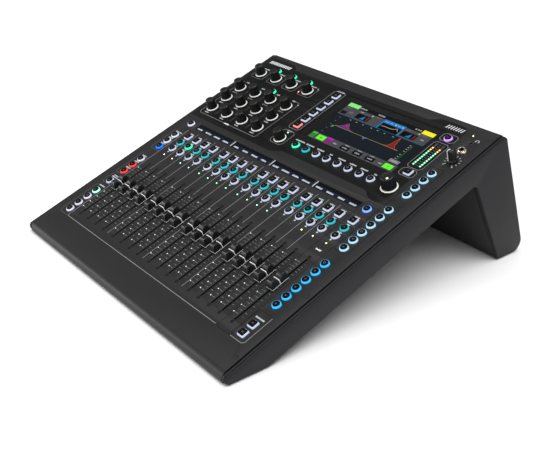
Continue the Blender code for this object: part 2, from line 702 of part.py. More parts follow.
def key_web(name, places):
    """The rubber web under a bank of keys: a strip, with an arm out to each key that stands off it."""
    if name == "section_in_keys":
        off_strip = places[3]
        return web(places[0], places[2]), [arm(off_strip, (off_strip[0], places[0][1]))]
    if name == "right_column_keys":
        column = [s for x, s, _ in places if x == RIGHT_KEYS_X]
        strip = web((RIGHT_KEYS_X, column[0]), (RIGHT_KEYS_X, column[-1]))
        arms = [arm(VIEW_KEY, (RIGHT_KEYS_X, VIEW_KEY[1])), arm(HOME_KEY, (RIGHT_KEYS_X, HOME_KEY[1]))]
        return strip, arms + [arm(HOME_KEY, LIBRARY_KEY)]
    return web(places[0], max(places, key=lambda p: (p[0], p[1]))), []


def key_bank(name, places):
    """A bank of keys moulded on one rubber web."""
    strip, arms = key_web(name, places)
    bank = boxes(name, [strip], KNOB_PLASTIC)
    for count, corners in enumerate(arms):
        combine(bank, boxes(f"{name}_arm_{count}", [corners], STEEL, HELPERS), "UNION")
    work = bmesh.new()
    root, half = WEB_BOTTOM + 0.6 * MM, SQUARE_KEY_HALF
    for x, s, square in places:
        if square:
            add_box(work, (x - half, s - half, root), (x + half, s + half, KEY_TOP))
        else:
            add_post(work, x, s, KEY_RADIUS, root, KEY_TOP, ROUND_KEY_SIDES)
    return combine(bank, finish_mesh(name + "_caps", work, STEEL, HELPERS), "UNION")


# ---- the assembly ------------------------------------------------------------------------------------


def build():
    control_panel()
    chassis_tray()
    cheek("left_cheek", -1)
    cheek("right_cheek", 1)
    rear_panel()
    rear_sockets()
    power_supply()
    power_switch()
    touchscreen()
    name_display()
    level_meter()
    phones_sockets()
    fader_board()
    main_board()
    foot_strip("front_foot", *FRONT_FOOT)
    foot_strip("rear_foot", *REAR_FOOT)
    for number, x in enumerate(STRIP_X[:-1], start=1):
        fader_cap(f"fader_cap_{number:02d}", x)
    fader_cap("fader_cap_master", MASTER_FADER_X)
    for name, places in KEYS.items():
        key_bank(name, places)
    for name, x, s, profile in KNOBS:
        knob(name, x, s, profile)


def centre_on_origin():
    """Moves the whole console so that its footprint is centred on the world's origin."""
    bpy.context.view_layer.update()
    graph = bpy.context.evaluated_depsgraph_get()
    depths = []
    for obj in CONSOLE.objects:
        if obj.type == "MESH":
            shown = obj.evaluated_get(graph)
            depths += [(shown.matrix_world @ vertex.co).y for vertex in shown.data.vertices]
    FRAME.location.y -= (min(depths) + max(depths)) / 2


build()
centre_on_origin()
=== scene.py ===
import json
import math
import random

import bmesh
import bpy
from mathutils import Matrix, Vector


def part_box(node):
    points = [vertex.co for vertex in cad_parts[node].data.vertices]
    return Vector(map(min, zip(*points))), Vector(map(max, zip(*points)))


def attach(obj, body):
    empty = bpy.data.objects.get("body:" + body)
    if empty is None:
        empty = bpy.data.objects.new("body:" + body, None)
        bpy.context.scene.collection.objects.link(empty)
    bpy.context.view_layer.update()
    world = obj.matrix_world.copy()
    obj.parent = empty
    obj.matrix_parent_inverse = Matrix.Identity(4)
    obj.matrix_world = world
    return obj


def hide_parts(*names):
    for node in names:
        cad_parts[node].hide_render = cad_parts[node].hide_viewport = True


# The looks of a desktop mixing console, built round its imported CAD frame. Sizes are in millimetres on the
# control panel unless a name says otherwise: x across, s up the slope from the front edge, w out of it.

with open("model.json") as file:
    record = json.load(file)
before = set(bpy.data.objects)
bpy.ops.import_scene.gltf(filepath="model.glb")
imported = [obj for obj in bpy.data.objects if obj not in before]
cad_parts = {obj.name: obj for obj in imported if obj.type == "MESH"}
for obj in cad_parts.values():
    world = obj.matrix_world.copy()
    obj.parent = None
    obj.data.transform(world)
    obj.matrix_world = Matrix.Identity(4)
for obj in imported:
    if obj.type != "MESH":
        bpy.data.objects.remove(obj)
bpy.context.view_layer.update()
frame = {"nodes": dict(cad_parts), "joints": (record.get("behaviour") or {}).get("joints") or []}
MM = 0.001
BODY = "console_body"

# ---- the panel's own frame ---------------------------------------------------------------------------

PHONES = (194.3, 389.0)  # where the headphone level knob stands, which fixes the panel in the row frame


def panel_matrix():
    joint = next(j for j in frame["joints"] if j["name"] == "phones_level_turn")
    out, across = Vector(joint["axis"]), Vector((1, 0, 0))
    up = out.cross(across)
    matrix = Matrix((across, up, out)).transposed().to_4x4()
    matrix.translation = Vector(joint["pos_m"]) - (across * PHONES[0] + up * PHONES[1]) * MM
    return matrix


PANEL = panel_matrix()


def on_panel(point):
    """(x, s, w) in millimetres of a point in the row frame."""
    return (PANEL.inverted() @ Vector(point)) / MM


def node_middle(node):
    low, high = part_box(node)
    return (low + high) / 2


STRIP_X = [on_panel(node_middle(f"fader_cap_{k:02d}")).x for k in range(1, 17)]
MASTER_X = on_panel(node_middle("fader_cap_master")).x
ALL_STRIPS = STRIP_X + [MASTER_X]
KNOB_PLACES = {j["child"]: on_panel(j["pos_m"]) for j in frame["joints"] if "knob" in j["child"]}

# ---- materials ---------------------------------------------------------------------------------------


def node(tree, kind, **values):
    made = tree.nodes.new(kind)
    for key, value in values.items():
        if key in made.inputs:
            made.inputs[key].default_value = value
        else:
            setattr(made, key, value)
    return made


def look(name, colour, rough, metal=0.0, grain=0.4, bump=0.08, vary=0.12, patch=30.0, rough_vary=0.06, glow=None,
         shine=None):
    """Paint or plastic: grain gives the bump, and patches shift colour and roughness, both in millimetres."""
    made = bpy.data.materials.new(name)
    made.use_nodes = True
    tree = made.node_tree
    shader = tree.nodes["Principled BSDF"]
    place = node(tree, "ShaderNodeTexCoord")
    wide = node(tree, "ShaderNodeTexNoise", Scale=1000 / patch, Detail=3.0, Roughness=0.55)
    fine = node(tree, "ShaderNodeTexNoise", Scale=1000 / grain, Detail=2.0, Roughness=0.6)
    both = node(tree, "ShaderNodeMath", operation="MULTIPLY_ADD")
    both.inputs[1].default_value = 0.45
    shade = node(tree, "ShaderNodeMix", data_type="RGBA")
    shade.inputs[6].default_value = (*[c * (1 - vary) for c in colour], 1)
    shade.inputs[7].default_value = (*[min(c * (1 + vary), 1) for c in colour], 1)
    spread = node(tree, "ShaderNodeMapRange")
    spread.inputs["To Min"].default_value = max(rough - rough_vary, 0.02)
    spread.inputs["To Max"].default_value = min(rough + rough_vary, 1)
    ridge = node(tree, "ShaderNodeBump", Strength=bump, Distance=grain * MM * 0.5)
    join = tree.links.new
    join(place.outputs["Object"], wide.inputs["Vector"])
    join(place.outputs["Object"], fine.inputs["Vector"])
    join(fine.outputs["Fac"], both.inputs[0])
    join(wide.outputs["Fac"], both.inputs[2])
    join(both.outputs[0], shade.inputs["Factor"])
    join(both.outputs[0], spread.inputs["Value"])
    join(shade.outputs[2], shader.inputs["Base Color"])
    join(spread.outputs[0], shader.inputs["Roughness"])
    join(fine.outputs["Fac"], ridge.inputs["Height"])
    join(ridge.outputs["Normal"], shader.inputs["Normal"])
    shader.inputs["Metallic"].default_value = metal
    if glow:
        shader.inputs["Emission Color"].default_value = (*glow[:3], 1)
        shader.inputs["Emission Strength"].default_value = glow[3]
    if shine is not None:
        shader.inputs["Specular IOR Level"].default_value = shine
    return made


def lit(name, colour, strength, body=0.6):
    """A translucent plastic lit from behind."""
    dimmed = [c * body for c in colour]
    return look(name, dimmed, 0.35, grain=0.8, bump=0.03, vary=0.06, patch=4, glow=(*colour, strength))


def ink(name, colour, vary=0.08, shine=None):
    return look(name, colour, 0.5, grain=0.3, bump=0.04, vary=vary, patch=8, shine=shine)


def board_look():
    """Green solder resist with paler copper tracks under it."""
    made = look("solder_resist", (0.012, 0.085, 0.035), 0.4, grain=0.3, bump=0.03)
    tree = made.node_tree
    shader = tree.nodes["Principled BSDF"]
    tracks = node(tree, "ShaderNodeTexBrick", Scale=110.0)
    tracks.inputs["Color1"].default_value = (0.010, 0.075, 0.030, 1)
    tracks.inputs["Color2"].default_value = (0.016, 0.100, 0.042, 1)
    tracks.inputs["Mortar"].default_value = (0.035, 0.150, 0.070, 1)
    tree.links.new(tree.nodes["Texture Coordinate"].outputs["Object"], tracks.inputs["Vector"])
    tree.links.new(tracks.outputs["Color"], shader.inputs["Base Color"])
    return made


PAINT = look("powder_coat", (0.0098,) * 3, 0.5, grain=0.35, bump=0.16, vary=0.07, patch=60, shine=0.32)
SATIN = look("satin_overlay", (0.0036, 0.0036, 0.0037), 0.4, grain=0.5, bump=0.05, vary=0.08, patch=60,
             shine=0.16)
CHEEK = look("cheek_moulding", (0.0105, 0.0105, 0.0125), 0.42, grain=0.7, bump=0.10, vary=0.08, patch=50,
             shine=0.18)
SHEET_COAT = look("sheet_coat", (0.018,) * 3, 0.62, grain=0.4, bump=0.14, vary=0.08, patch=70, shine=0.35)
KNOB = look("knob_rubber", (0.0040, 0.0040, 0.0042), 0.34, grain=0.3, bump=0.06, patch=12, shine=0.4)
CAP = look("cap_plastic", (0.0050, 0.0050, 0.0058), 0.32, grain=0.4, bump=0.05, patch=14, shine=0.4)
WHITE_RING = look("white_moulding", (0.70, 0.69, 0.66), 0.32, grain=0.6, bump=0.03, vary=0.04, patch=10)
WHITE_LINE = look("white_inlay", (0.62, 0.62, 0.62), 0.4, grain=0.4, bump=0.03, vary=0.05, patch=10)
INK = ink("white_ink", (0.42, 0.43, 0.46))
BRIGHT_INK = ink("bright_ink", (0.68, 0.69, 0.72), 0.06)
GREY_INK = ink("grey_ink", (0.17, 0.17, 0.175))
DIM_INK = ink("dim_ink", (0.075, 0.075, 0.078))
DARK_INK = ink("dark_ink", (0.0040,) * 3, shine=0.1)
KEY_CAP = look("key_cap", (0.0018, 0.0018, 0.0021), 0.30, grain=0.5, bump=0.03, patch=6, shine=0.15)
ICON = look("key_icon", (0.11, 0.11, 0.12), 0.4, grain=0.4, bump=0.03, patch=5)
GLASS = look("display_glass", (0.0016, 0.0017, 0.0030), 0.16, grain=1.2, bump=0.01, vary=0.15,
             rough_vary=0.03, shine=0.15)
LENS = look("meter_lens", (0.0020, 0.0035, 0.0026), 0.22, grain=0.8, bump=0.03, shine=0.15)
STEEL = look("zinc_steel", (0.46, 0.46, 0.47), 0.34, metal=1.0, grain=0.5, bump=0.06, patch=15)
DARK_STEEL = look("black_screw", (0.020, 0.020, 0.020), 0.42, metal=0.6, grain=0.4, bump=0.05, patch=8)
NICKEL = look("nickel_plate", (0.78, 0.70, 0.58), 0.20, metal=1.0, grain=0.6, bump=0.04, patch=10)
SOCKET = look("socket_moulding", (0.010, 0.010, 0.010), 0.4, grain=0.4, bump=0.06, patch=12)
GOLD = look("gold_contact", (0.85, 0.62, 0.25), 0.25, metal=1.0, grain=0.5, bump=0.03, patch=8)
RUBBER = look("foot_rubber", (0.015, 0.015, 0.015), 0.85, grain=0.6, bump=0.3, patch=20)
BOARD = board_look()
# Near-black flat discs laid on screw heads and at the bottom of socket bores: painted shade standing in for the
# darkness inside recesses that are not modelled.
RECESS_SHADE = look("painted_recess_shade", (0.004, 0.004, 0.004), 0.6, grain=0.4, bump=0.05)

LAVENDER = lit("lit_lavender", (0.52, 0.58, 0.74), 0.6)
WHITE_KEY = lit("lit_white", (0.66, 0.68, 0.78), 0.65)
TEAL_KEY = lit("lit_teal", (0.01, 0.42, 0.46), 0.85)
GREEN_KEY = lit("lit_green", (0.03, 0.85, 0.42), 1.3)
MINT_KEY = lit("lit_mint", (0.35, 0.95, 0.68), 1.2)
RED_KEY = lit("lit_red", (0.95, 0.05, 0.045), 0.85)
SALMON_KEY = lit("lit_salmon", (0.95, 0.22, 0.22), 0.9)
BLUE_KEY = lit("lit_blue", (0.0, 0.16, 0.95), 1.2)
VIEW_BLUE = lit("lit_view_blue", (0.14, 0.30, 0.95), 1.3)
AZURE_KEY = lit("lit_azure", (0.02, 0.40, 0.85), 1.0)
ICE_KEY = lit("lit_ice", (0.38, 0.66, 0.85), 0.75)
PURPLE_KEY = lit("lit_purple", (0.50, 0.26, 0.90), 1.1)

YELLOW_LED = lit("led_yellow", (1.0, 0.86, 0.40), 2.6)
CYAN_LED = lit("led_cyan", (0.30, 0.85, 0.72), 2.2)
GREEN_LED = lit("led_green", (0.20, 0.90, 0.42), 2.2)
LIME_LED = lit("led_lime", (0.80, 1.0, 0.35), 2.6)
ORANGE_LED = lit("led_orange", (1.0, 0.55, 0.18), 2.6)
RED_LED = lit("led_red", (1.0, 0.12, 0.06), 2.6)
CREAM_LED = lit("led_cream", (1.0, 0.92, 0.62), 1.8)
WHITE_CORE = lit("led_core", (1.0, 1.0, 0.9), 4.0)
UNLIT = look("led_unlit", (0.035, 0.035, 0.035), 0.3, grain=0.5, bump=0.02, patch=5)


def screen_colour(name, colour, strength=1.0):
    """A patch of the lit display: its light doesn't depend on the room."""
    dimmed = [c * 0.05 for c in colour]
    return look("ui_" + name, dimmed, 0.3, grain=1.0, bump=0.01, glow=(*colour, strength), shine=0.08)


UI = {
    name: screen_colour(name, colour)
    for name, colour in {
        "ground": (0.0045, 0.0050, 0.0060),
        "graph": (0.0070, 0.0105, 0.0150),
        "grid": (0.012, 0.018, 0.026),
        "panel": (0.062, 0.065, 0.072),
        "panel_light": (0.10, 0.105, 0.115),
        "button_grey": (0.20, 0.20, 0.21),
        "black": (0.0015, 0.0015, 0.0015),
        "mark": (0.36, 0.37, 0.39),
        "dim_mark": (0.13, 0.135, 0.145),
        "pale_green": (0.24, 0.80, 0.20),
        "green": (0.14, 0.90, 0.03),
        "deep_green": (0.035, 0.20, 0.035),
        "leaf": (0.08, 0.42, 0.03),
        "yellow": (0.90, 0.80, 0.02),
        "magenta": (0.42, 0.022, 0.38),
        "plum": (0.22, 0.015, 0.19),
        "blue": (0.010, 0.18, 0.52),
        "border": (0.018, 0.10, 0.18),
        "lime_dot": (0.40, 0.55, 0.12),
        "curve": (0.22, 0.22, 0.09),
        "beige": (0.40, 0.34, 0.20),
        "red": (0.22, 0.012, 0.010),
        "edge_orange": (0.50, 0.10, 0.03),
        "purple": (0.15, 0.03, 0.13),
        "edge_rose": (0.26, 0.10, 0.10),
        "meter_green": (0.010, 0.085, 0.012),
        "meter_orange": (0.15, 0.05, 0.01),
        "dip_blue": (0.04, 0.12, 0.34),
    }.items()
}

# ---- shape building ----------------------------------------------------------------------------------


def circle(steps=32):
    """An outline of a given radius."""
    turns = [math.tau * k / steps for k in range(steps)]
    return lambda size: [(size * math.cos(a), size * math.sin(a)) for a in turns]


def rounded_square(corner=1.2, steps=4):
    """An outline of a given half width, with its corners rounded."""

    def outline(size):
        radius = min(corner, size * 0.9)
        points = []
        for quarter in range(4):
            middle = math.radians(45 + 90 * quarter)
            centre_x = math.copysign(size - radius, math.cos(middle))
            centre_s = math.copysign(size - radius, math.sin(middle))
            for k in range(steps + 1):
                a = math.radians(90 * quarter) + math.pi / 2 * k / steps
                points.append((centre_x + radius * math.cos(a), centre_s + radius * math.sin(a)))
        return points

    return outline


def fluted(count, depth, steps=96):
    """A round outline with shallow flutes round it."""

    def outline(size):
        points = []
        for k in range(steps):
            a = math.tau * k / steps
            radius = size * (1 - depth * (0.5 + 0.5 * math.cos(count * a)) ** 3)
            points.append((radius * math.cos(a), radius * math.sin(a)))
        return points

    return outline


def circle_like(outline):
    """A plain circle with as many points as a fluted outline has."""
    return circle(len(outline(1)))


def corners_of(x_low, x_high, s_low, s_high):
    """A rectangle's outline, from its lower left corner."""
    return [(x_low, s_low), (x_high, s_low), (x_high, s_high), (x_low, s_high)]


def ring_at(x, s, outline, w):
    """An outline moved to a place, at one level."""
    return [(x + a, s + b, w) for a, b in outline]


def arc(centre, radius, start, end, steps):
    turns = [math.radians(start + (end - start) * k / steps) for k in range(steps + 1)]
    return [(centre[0] + radius * math.cos(a), centre[1] + radius * math.sin(a)) for a in turns]


def round_hole(x, s, radius, steps=36):
    return [(a, b) for a, b, _ in ring_at(x, s, circle(steps)(radius), 0)]


class Shape:
    """Closed solids gathered in millimetres, with a material for each face."""

    def __init__(self):
        self.points, self.faces, self.marks, self.looks = [], [], [], []

    def index(self, material):
        if material not in self.looks:
            self.looks.append(material)
        return self.looks.index(material)

    def add(self, points, faces, material):
        base = len(self.points)
        self.points += [tuple(p) for p in points]
        self.faces += [[base + i for i in face] for face in faces]
        self.marks += [self.index(material)] * len(faces)

    def rings(self, rings, material):
        """Closed rings of equal length, skinned one to the next; the first and last are capped."""
        count = len(rings[0])
        faces = [list(range(count)), [i + count * (len(rings) - 1) for i in range(count)]]
        for level in range(len(rings) - 1):
            for k in range(count):
                a, b = level * count + k, level * count + (k + 1) % count
                faces.append([a, b, b + count, a + count])
        self.add([p for ring in rings for p in ring], faces, material)

    def stack(self, x, s, outline, sizes, material):
        """A solid over a growing and shrinking outline: sizes are (size, w) from the bottom up."""
        self.rings([ring_at(x, s, outline(size), w) for size, w in sizes], material)

    def prism(self, outline, low, high, material):
        self.rings([[(x, s, low) for x, s in outline], [(x, s, high) for x, s in outline]], material)

    def dash(self, x, s, width, length, material, low=0.0, high=0.06):
        """A printed rectangle round its middle."""
        a, b = width / 2, length / 2
        self.prism(corners_of(x - a, x + a, s - b, s + b), low, high, material)

    def block(self, low, high, material):
        self.prism(corners_of(low[0], high[0], low[1], high[1]), low[2], high[2], material)

    def stroke(self, path, width, material, closed=False, low=0.0, high=0.06):
        """A printed line along (x, s) points, mitred at its corners."""
        points = [Vector(p) for p in path]
        count = len(points)
        rings = []
        for k, point in enumerate(points):
            before = points[k - 1] if closed or k else points[0] - (points[1] - points[0])
            inside = closed or k < count - 1
            after = points[(k + 1) % count] if inside else points[-1] + (points[-1] - points[-2])
            one, two = (point - before).normalized(), (after - point).normalized()
            tangent = (one + two).normalized()
            side = Vector((-tangent.y, tangent.x)) * (width / 2) / max(tangent.dot(one), 0.4)
            left, right = point + side, point - side
            rings.append([(*left, low), (*left, high), (*right, high), (*right, low)])
        if closed:
            rings.append(rings[0])
        faces = [] if closed else [[0, 1, 2, 3], [4 * (len(rings) - 1) + i for i in (3, 2, 1, 0)]]
        for level in range(len(rings) - 1):
            for i in range(4):
                a, b = level * 4 + i, level * 4 + (i + 1) % 4
                faces.append([a, b, b + 4, a + 4])
        self.add([p for ring in rings for p in ring], faces, material)


def finish_mesh(mesh, angle=35):
    work = bmesh.new()
    work.from_mesh(mesh)
    bmesh.ops.remove_doubles(work, verts=work.verts, dist=0.0005 * MM)
    bmesh.ops.recalc_face_normals(work, faces=work.faces)
    work.to_mesh(mesh)
    work.free()
    mesh.polygons.foreach_set("use_smooth", [True] * len(mesh.polygons))
    mesh.set_sharp_from_angle(angle=math.radians(angle))


def piece(name, shape, body=BODY, replaces=(), place=PANEL, angle=35):
    """A named piece of the visual model, made from a shape in panel millimetres."""
    mesh = bpy.data.meshes.new(name)
    mesh.from_pydata([Vector(p) * MM for p in shape.points], [], shape.faces)
    for material in shape.looks:
        mesh.materials.append(material)
    mesh.polygons.foreach_set("material_index", shape.marks)
    finish_mesh(mesh, angle)
    return put(bpy.data.objects.new(name, mesh), body, replaces, place)


def put(obj, body=BODY, replaces=(), place=PANEL):
    """Places a piece. Its mesh takes the turn, so that its own box is square to the row frame."""
    bpy.context.scene.collection.objects.link(obj)
    obj.data.transform(place.to_3x3().to_4x4())
    obj.matrix_world = Matrix.Translation(place.translation)
    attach(obj, body)
    if replaces:
        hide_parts(*replaces)
    return obj


def rounded(corners, radius, steps=5):
    """A closed outline with each corner rounded; radius is one number or one for each corner."""
    count = len(corners)
    radii = radius if isinstance(radius, (list, tuple)) else [radius] * count
    points = []
    for k in range(count):
        corner = Vector(corners[k])
        before, after = Vector(corners[k - 1]) - corner, Vector(corners[(k + 1) % count]) - corner
        shortest = min(before.length, after.length)
        before.normalize()
        after.normalize()
        half = before.angle(after) / 2
        reach = min(radii[k] / math.tan(half), 0.49 * shortest)
        centre = corner + (before + after).normalized() * (reach / math.cos(half))
        start = corner + before * reach - centre
        turn = start.angle_signed(corner + after * reach - centre) if start.length > 1e-6 else 0
        for i in range(steps + 1):
            spun = start.copy()
            spun.rotate(Matrix.Rotation(-turn * i / steps, 2))
            points.append(tuple(centre + spun))
    return points


def chamfered(x_low, x_high, s_low, s_high, cut):
    """A rectangle's outline with its corners cut off."""
    return [
        (x_low + cut, s_low), (x_high - cut, s_low), (x_high, s_low + cut), (x_high, s_high - cut),
        (x_high - cut, s_high), (x_low + cut, s_high), (x_low, s_high - cut), (x_low, s_low + cut),
    ]


# ---- control layout ----------------------------------------------------------------------------------

MUTE_S, SELECT_S, LISTEN_S = 246.0, 231.1, 216.3
LEFT_X, RIGHT_X = -190.1, 188.4
SCREEN_ROW_S, SIDE_X = 312.6, -40.0
SIDE_S = [345.9 + 14.96 * k for k in range(6)]
ROW_X = [-8.2 + 19.7 * k for k in range(8)]
VIEW, HOME, LIBRARY = (165.0, 269.5), (161.4, 346.0), (160.6, 421.2)
LEFT_KEYS = [
    (54.2, WHITE_KEY), (68.5, WHITE_KEY), (83.3, WHITE_KEY), (97.9, MINT_KEY), (121.9, LAVENDER),
    (146.2, RED_KEY), (161.4, RED_KEY), (176.3, WHITE_KEY), (209.6, BLUE_KEY), (224.2, WHITE_KEY),
    (238.7, WHITE_KEY), (269.1, WHITE_KEY),
]
SOFT_S = [207.3, 222.2, 236.7, 251.5, 266.6, 281.9, 313.0, 327.9, 343.0, 357.7]
MIX_S = [102.5 + 14.85 * k for k in range(6)]
LAYER_S = [53.7, 68.3]
SECTION = [(-172, 426), (-137, 426), (-102.5, 426), (-138, 384.5)]


def key_banks():
    """Every bank's keys as (x, s, square, glow)."""
    right = [(RIGHT_X, s, True, LAVENDER) for s in LAYER_S]
    right += [(RIGHT_X, s, False, AZURE_KEY) for s in MIX_S]
    right += [(RIGHT_X, s, False, ICE_KEY) for s in SOFT_S]
    right += [(*VIEW, False, VIEW_BLUE), (*HOME, True, LAVENDER), (*LIBRARY, False, PURPLE_KEY)]
    row = [GREEN_KEY, TEAL_KEY] + [LAVENDER] * 6
    side = [SALMON_KEY] + [LAVENDER] * 5
    select = [TEAL_KEY, GREEN_KEY] + [TEAL_KEY] * 15
    return {
        "mute_keys": [(x, MUTE_S, True, LAVENDER) for x in ALL_STRIPS],
        "select_keys": [(x, SELECT_S, False, glow) for x, glow in zip(ALL_STRIPS, select)],
        "listen_keys": [(x, LISTEN_S, False, LAVENDER) for x in ALL_STRIPS],
        "left_column_keys": [(LEFT_X, s, False, glow) for s, glow in LEFT_KEYS],
        "right_column_keys": right,
        "screen_row_keys": [(x, SCREEN_ROW_S, False, glow) for x, glow in zip(ROW_X, row)],
        "screen_side_keys": [(SIDE_X, s, True, glow) for s, glow in zip(SIDE_S, side)],
        "section_in_keys": [(x, s, False, GREEN_KEY) for x, s in SECTION],
    }


KEYS = key_banks()

# ---- keys --------------------------------------------------------------------------------------------

COLLAR = [
    (5.2, -1.8), (5.65, -1.6), (5.65, 0.05), (5.45, 0.8), (5.15, 1.5), (4.95, 1.8), (4.75, 1.87), (4.6, 1.7),
    (4.55, 1.3),
]
CAP_DISC = [(4.1, 1.2), (4.4, 1.35), (4.4, 2.1), (4.25, 2.3), (3.8, 2.35), (2.6, 2.27), (1.2, 2.22)]
WEB = (-7.6, -6.2)


def key(shape, x, s, square, glow, draw):
    outline = rounded_square() if square else circle(36)
    shape.stack(x, s, outline, [(size * (0.93 if square else 1), w) for size, w in COLLAR], glow)
    shape.stack(x, s, outline, CAP_DISC, KEY_CAP)
    shape.stack(x, s, circle(12), [(3.4, WEB[1] - 0.4), (3.4, -1.7)], glow)
    icon(shape, x, s, draw.randrange(4))


def icon(shape, x, s, kind):
    """A small plain sign printed on a key cap: bars, a ring, a chevron or a dot."""
    low, high = 2.22, 2.34
    if kind == 0:
        for k in range(3):
            shape.dash(x - 1.0 + k, s, 0.45, 1.2 + 0.6 * k, ICON, low, high)
    elif kind == 1:
        shape.stroke(round_hole(x, s, 1.3, 14), 0.45, ICON, True, low, high)
    elif kind == 2:
        shape.stroke([(x - 1.3, s - 0.6), (x, s + 0.8), (x + 1.3, s - 0.6)], 0.5, ICON, False, low, high)
    else:
        shape.dash(x, s, 2.4, 0.5, ICON, low, high)
        shape.dash(x, s - 1.0, 1.5, 0.5, ICON, low, high)


def key_pieces():
    for name, keys in KEYS.items():
        draw = random.Random(name)
        shape = Shape()
        for x, s, square, glow in keys:
            key(shape, x, s, square, glow, draw)
        runs(shape, keys)
        piece(name + "_lit", shape, body=name, replaces=[name], angle=30)


def runs(shape, keys):
    """The rubber web below a bank, as a strip from each key to the next."""
    low, high = WEB
    for (x, s, _, _), (next_x, next_s, _, _) in zip(keys, keys[1:]):
        x_ends, s_ends = sorted((x, next_x)), sorted((s, next_s))
        shape.block((x_ends[0] - 4.6, s_ends[0] - 4.6, low), (x_ends[1] + 4.6, s_ends[1] + 4.6, high), RUBBER)


# ---- knobs -------------------------------------------------------------------------------------------

KNOB_SHAFT = [(2.9, -8.3), (3.0, -8.2), (3.0, 1.0)]


def knob_shape(base, foot, top, height, flutes, depth):
    """A fluted knob on a white base ring, standing on its own axis."""
    shape = Shape()
    ring = [(3.2, 0.5), (base - 0.5, 0.5), (base, 0.75), (base, 1.25), (base - 0.35, 1.7), (foot + 0.1, 2.0)]
    shape.stack(0, 0, circle(64), ring, WHITE_RING)
    grip = fluted(flutes, depth)
    plain = circle_like(grip)
    rings = [plain(foot - 0.15), grip(foot)]
    levels = [1.6, 2.6]
    for share in (0.2, 0.45, 0.7, 0.9):
        rings.append(grip(foot + (top - foot) * share))
        levels.append(2.6 + (height - 4.2) * share)
    for less, level in ((0, -1.5), (0.12, -0.9), (0.5, -0.35), (1.0, -0.06), (1.6, -0.02), (2.2, -0.25)):
        rings.append(plain(top - less) if less else grip(top))
        levels.append(height + level)
    rings.append(plain(0.8))
    levels.append(height - 0.3)
    shape.rings([ring_at(0, 0, ring, w) for ring, w in zip(rings, levels)], KNOB)
    shape.stack(0, 0, circle(24), KNOB_SHAFT, STEEL)
    return shape


def stand(name, shape):
    """Puts a knob on its own axis."""
    place = PANEL @ Matrix.Translation(KNOB_PLACES[name] * MM)
    return piece(name + "_grip", shape, body=name, replaces=[name], place=place, angle=32)


def encoders():
    for name in KNOB_PLACES:
        if name not in ("touch_knob", "phones_level_knob"):
            stand(name, knob_shape(8.9, 7.75, 6.55, 16.0, 12, 0.075))
    touch = knob_shape(11.2, 9.7, 8.5, 18.4, 16, 0.07)
    touch.stack(3.3, -3.2, circle(20), [(1.35, 17.8), (1.35, 18.25), (1.1, 18.35)], CREAM_LED)
    stand("touch_knob", touch)


def phones_knob():
    """A slim knob with a white pointer down its front."""
    shape = Shape()
    grip = fluted(14, 0.07, 84)
    plain = circle_like(grip)
    profile = [
        (plain, 6.2, 0.6), (plain, 6.4, 0.8), (plain, 6.4, 2.6), (plain, 6.1, 3.2), (plain, 5.7, 3.5),
        (grip, 5.55, 4.2), (grip, 5.35, 10.6), (grip, 5.15, 16.0), (plain, 4.95, 17.0), (plain, 4.4, 17.9),
        (plain, 3.2, 18.5), (plain, 1.2, 18.6),
    ]
    shape.rings([ring_at(0, 0, outline(size), w) for outline, size, w in profile], KNOB)
    shape.stack(0, 0, circle(24), KNOB_SHAFT, STEEL)
    pointer(shape, math.radians(246), 0.75)
    stand("phones_level_knob", shape)


def pointer(shape, angle, half):
    """The pointer's line: out from the middle of the top and down the side, at one angle."""
    out = Vector((math.cos(angle), math.sin(angle)))
    across = Vector((-out.y, out.x)) * half
    path = [(0.6, 18.66), (3.2, 18.56), (4.5, 18.0), (5.1, 17.1), (5.35, 16.0), (5.75, 4.2), (6.3, 3.3)]
    rings = []
    for radius, w in path:
        skin, core = out * radius, out * max(radius - 0.5, 0.1)
        low = w - (0.5 if radius < 4 else 0)
        corners = (skin + across, w), (skin - across, w), (core - across, low), (core + across, low)
        rings.append([(*point, level) for point, level in corners])
    shape.rings(rings, WHITE_LINE)


# ---- fader caps --------------------------------------------------------------------------------------

FADER_REST_S = 125.4
CAP_HALF, CAP_LOW = 12.6, 1.8
# The front half's (s, top, half width); the back half mirrors it.
CAP_PROFILE = [
    (-12.45, 3.2, 5.55), (-12.2, 5.2, 5.35), (-11.4, 8.6, 4.75), (-10.4, 10.6, 4.3), (-9.2, 11.7, 4.05),
    (-7.8, 11.95, 3.95), (-6.2, 11.4, 4.0), (-4.6, 10.2, 4.25), (-3.0, 9.0, 4.5), (-1.6, 8.2, 4.65),
    (-0.75, 7.95, 4.7), (-0.45, 8.15, 4.7),
]


def cap_section(y, top, half):
    """One cross-section of a fader cap: sloping sides, rounded shoulders and a dished top."""
    wide, low = 5.75, CAP_LOW + 0.6
    side = [
        (wide, low), (wide - 0.1, low + 0.5), (half + 0.35, max(top - 1.3, low + 0.8)),
        (half + 0.05, top - 0.6), (half - 0.6, top - 0.12), (half * 0.55, top - 0.05),
    ]
    return [(a, y, w) for a, w in side] + [(-a, y, w) for a, w in side[::-1]]


def fader_cap_shape():
    shape = Shape()
    front = [cap_section(y, top, half) for y, top, half in CAP_PROFILE]
    back = [cap_section(-y, top, half) for y, top, half in CAP_PROFILE[::-1]]
    shape.rings(front, CAP)
    shape.rings(back, CAP)
    shape.rings([cap_section(y, 8.2, 4.74) for y in (-0.5, 0.5)], WHITE_LINE)
    skirt = rounded(corners_of(-5.95, 5.95, -CAP_HALF, CAP_HALF), 0.9)
    shape.prism(skirt, CAP_LOW, CAP_LOW + 0.62, WHITE_LINE)
    shape.block((-0.7, -4, -15), (0.7, 4, CAP_LOW), STEEL)
    shape.block((-3.4, -6, -18.6), (3.4, 6, -14), SOCKET)
    return shape


def fader_caps():
    names = [f"fader_cap_{k:02d}" for k in range(1, 17)] + ["fader_cap_master"]
    for name in names:
        place = on_panel(node_middle(name))
        matrix = PANEL @ Matrix.Translation(Vector((place.x, FADER_REST_S, 0)) * MM)
        piece(name + "_moulded", fader_cap_shape(), name, [name], matrix, 28)


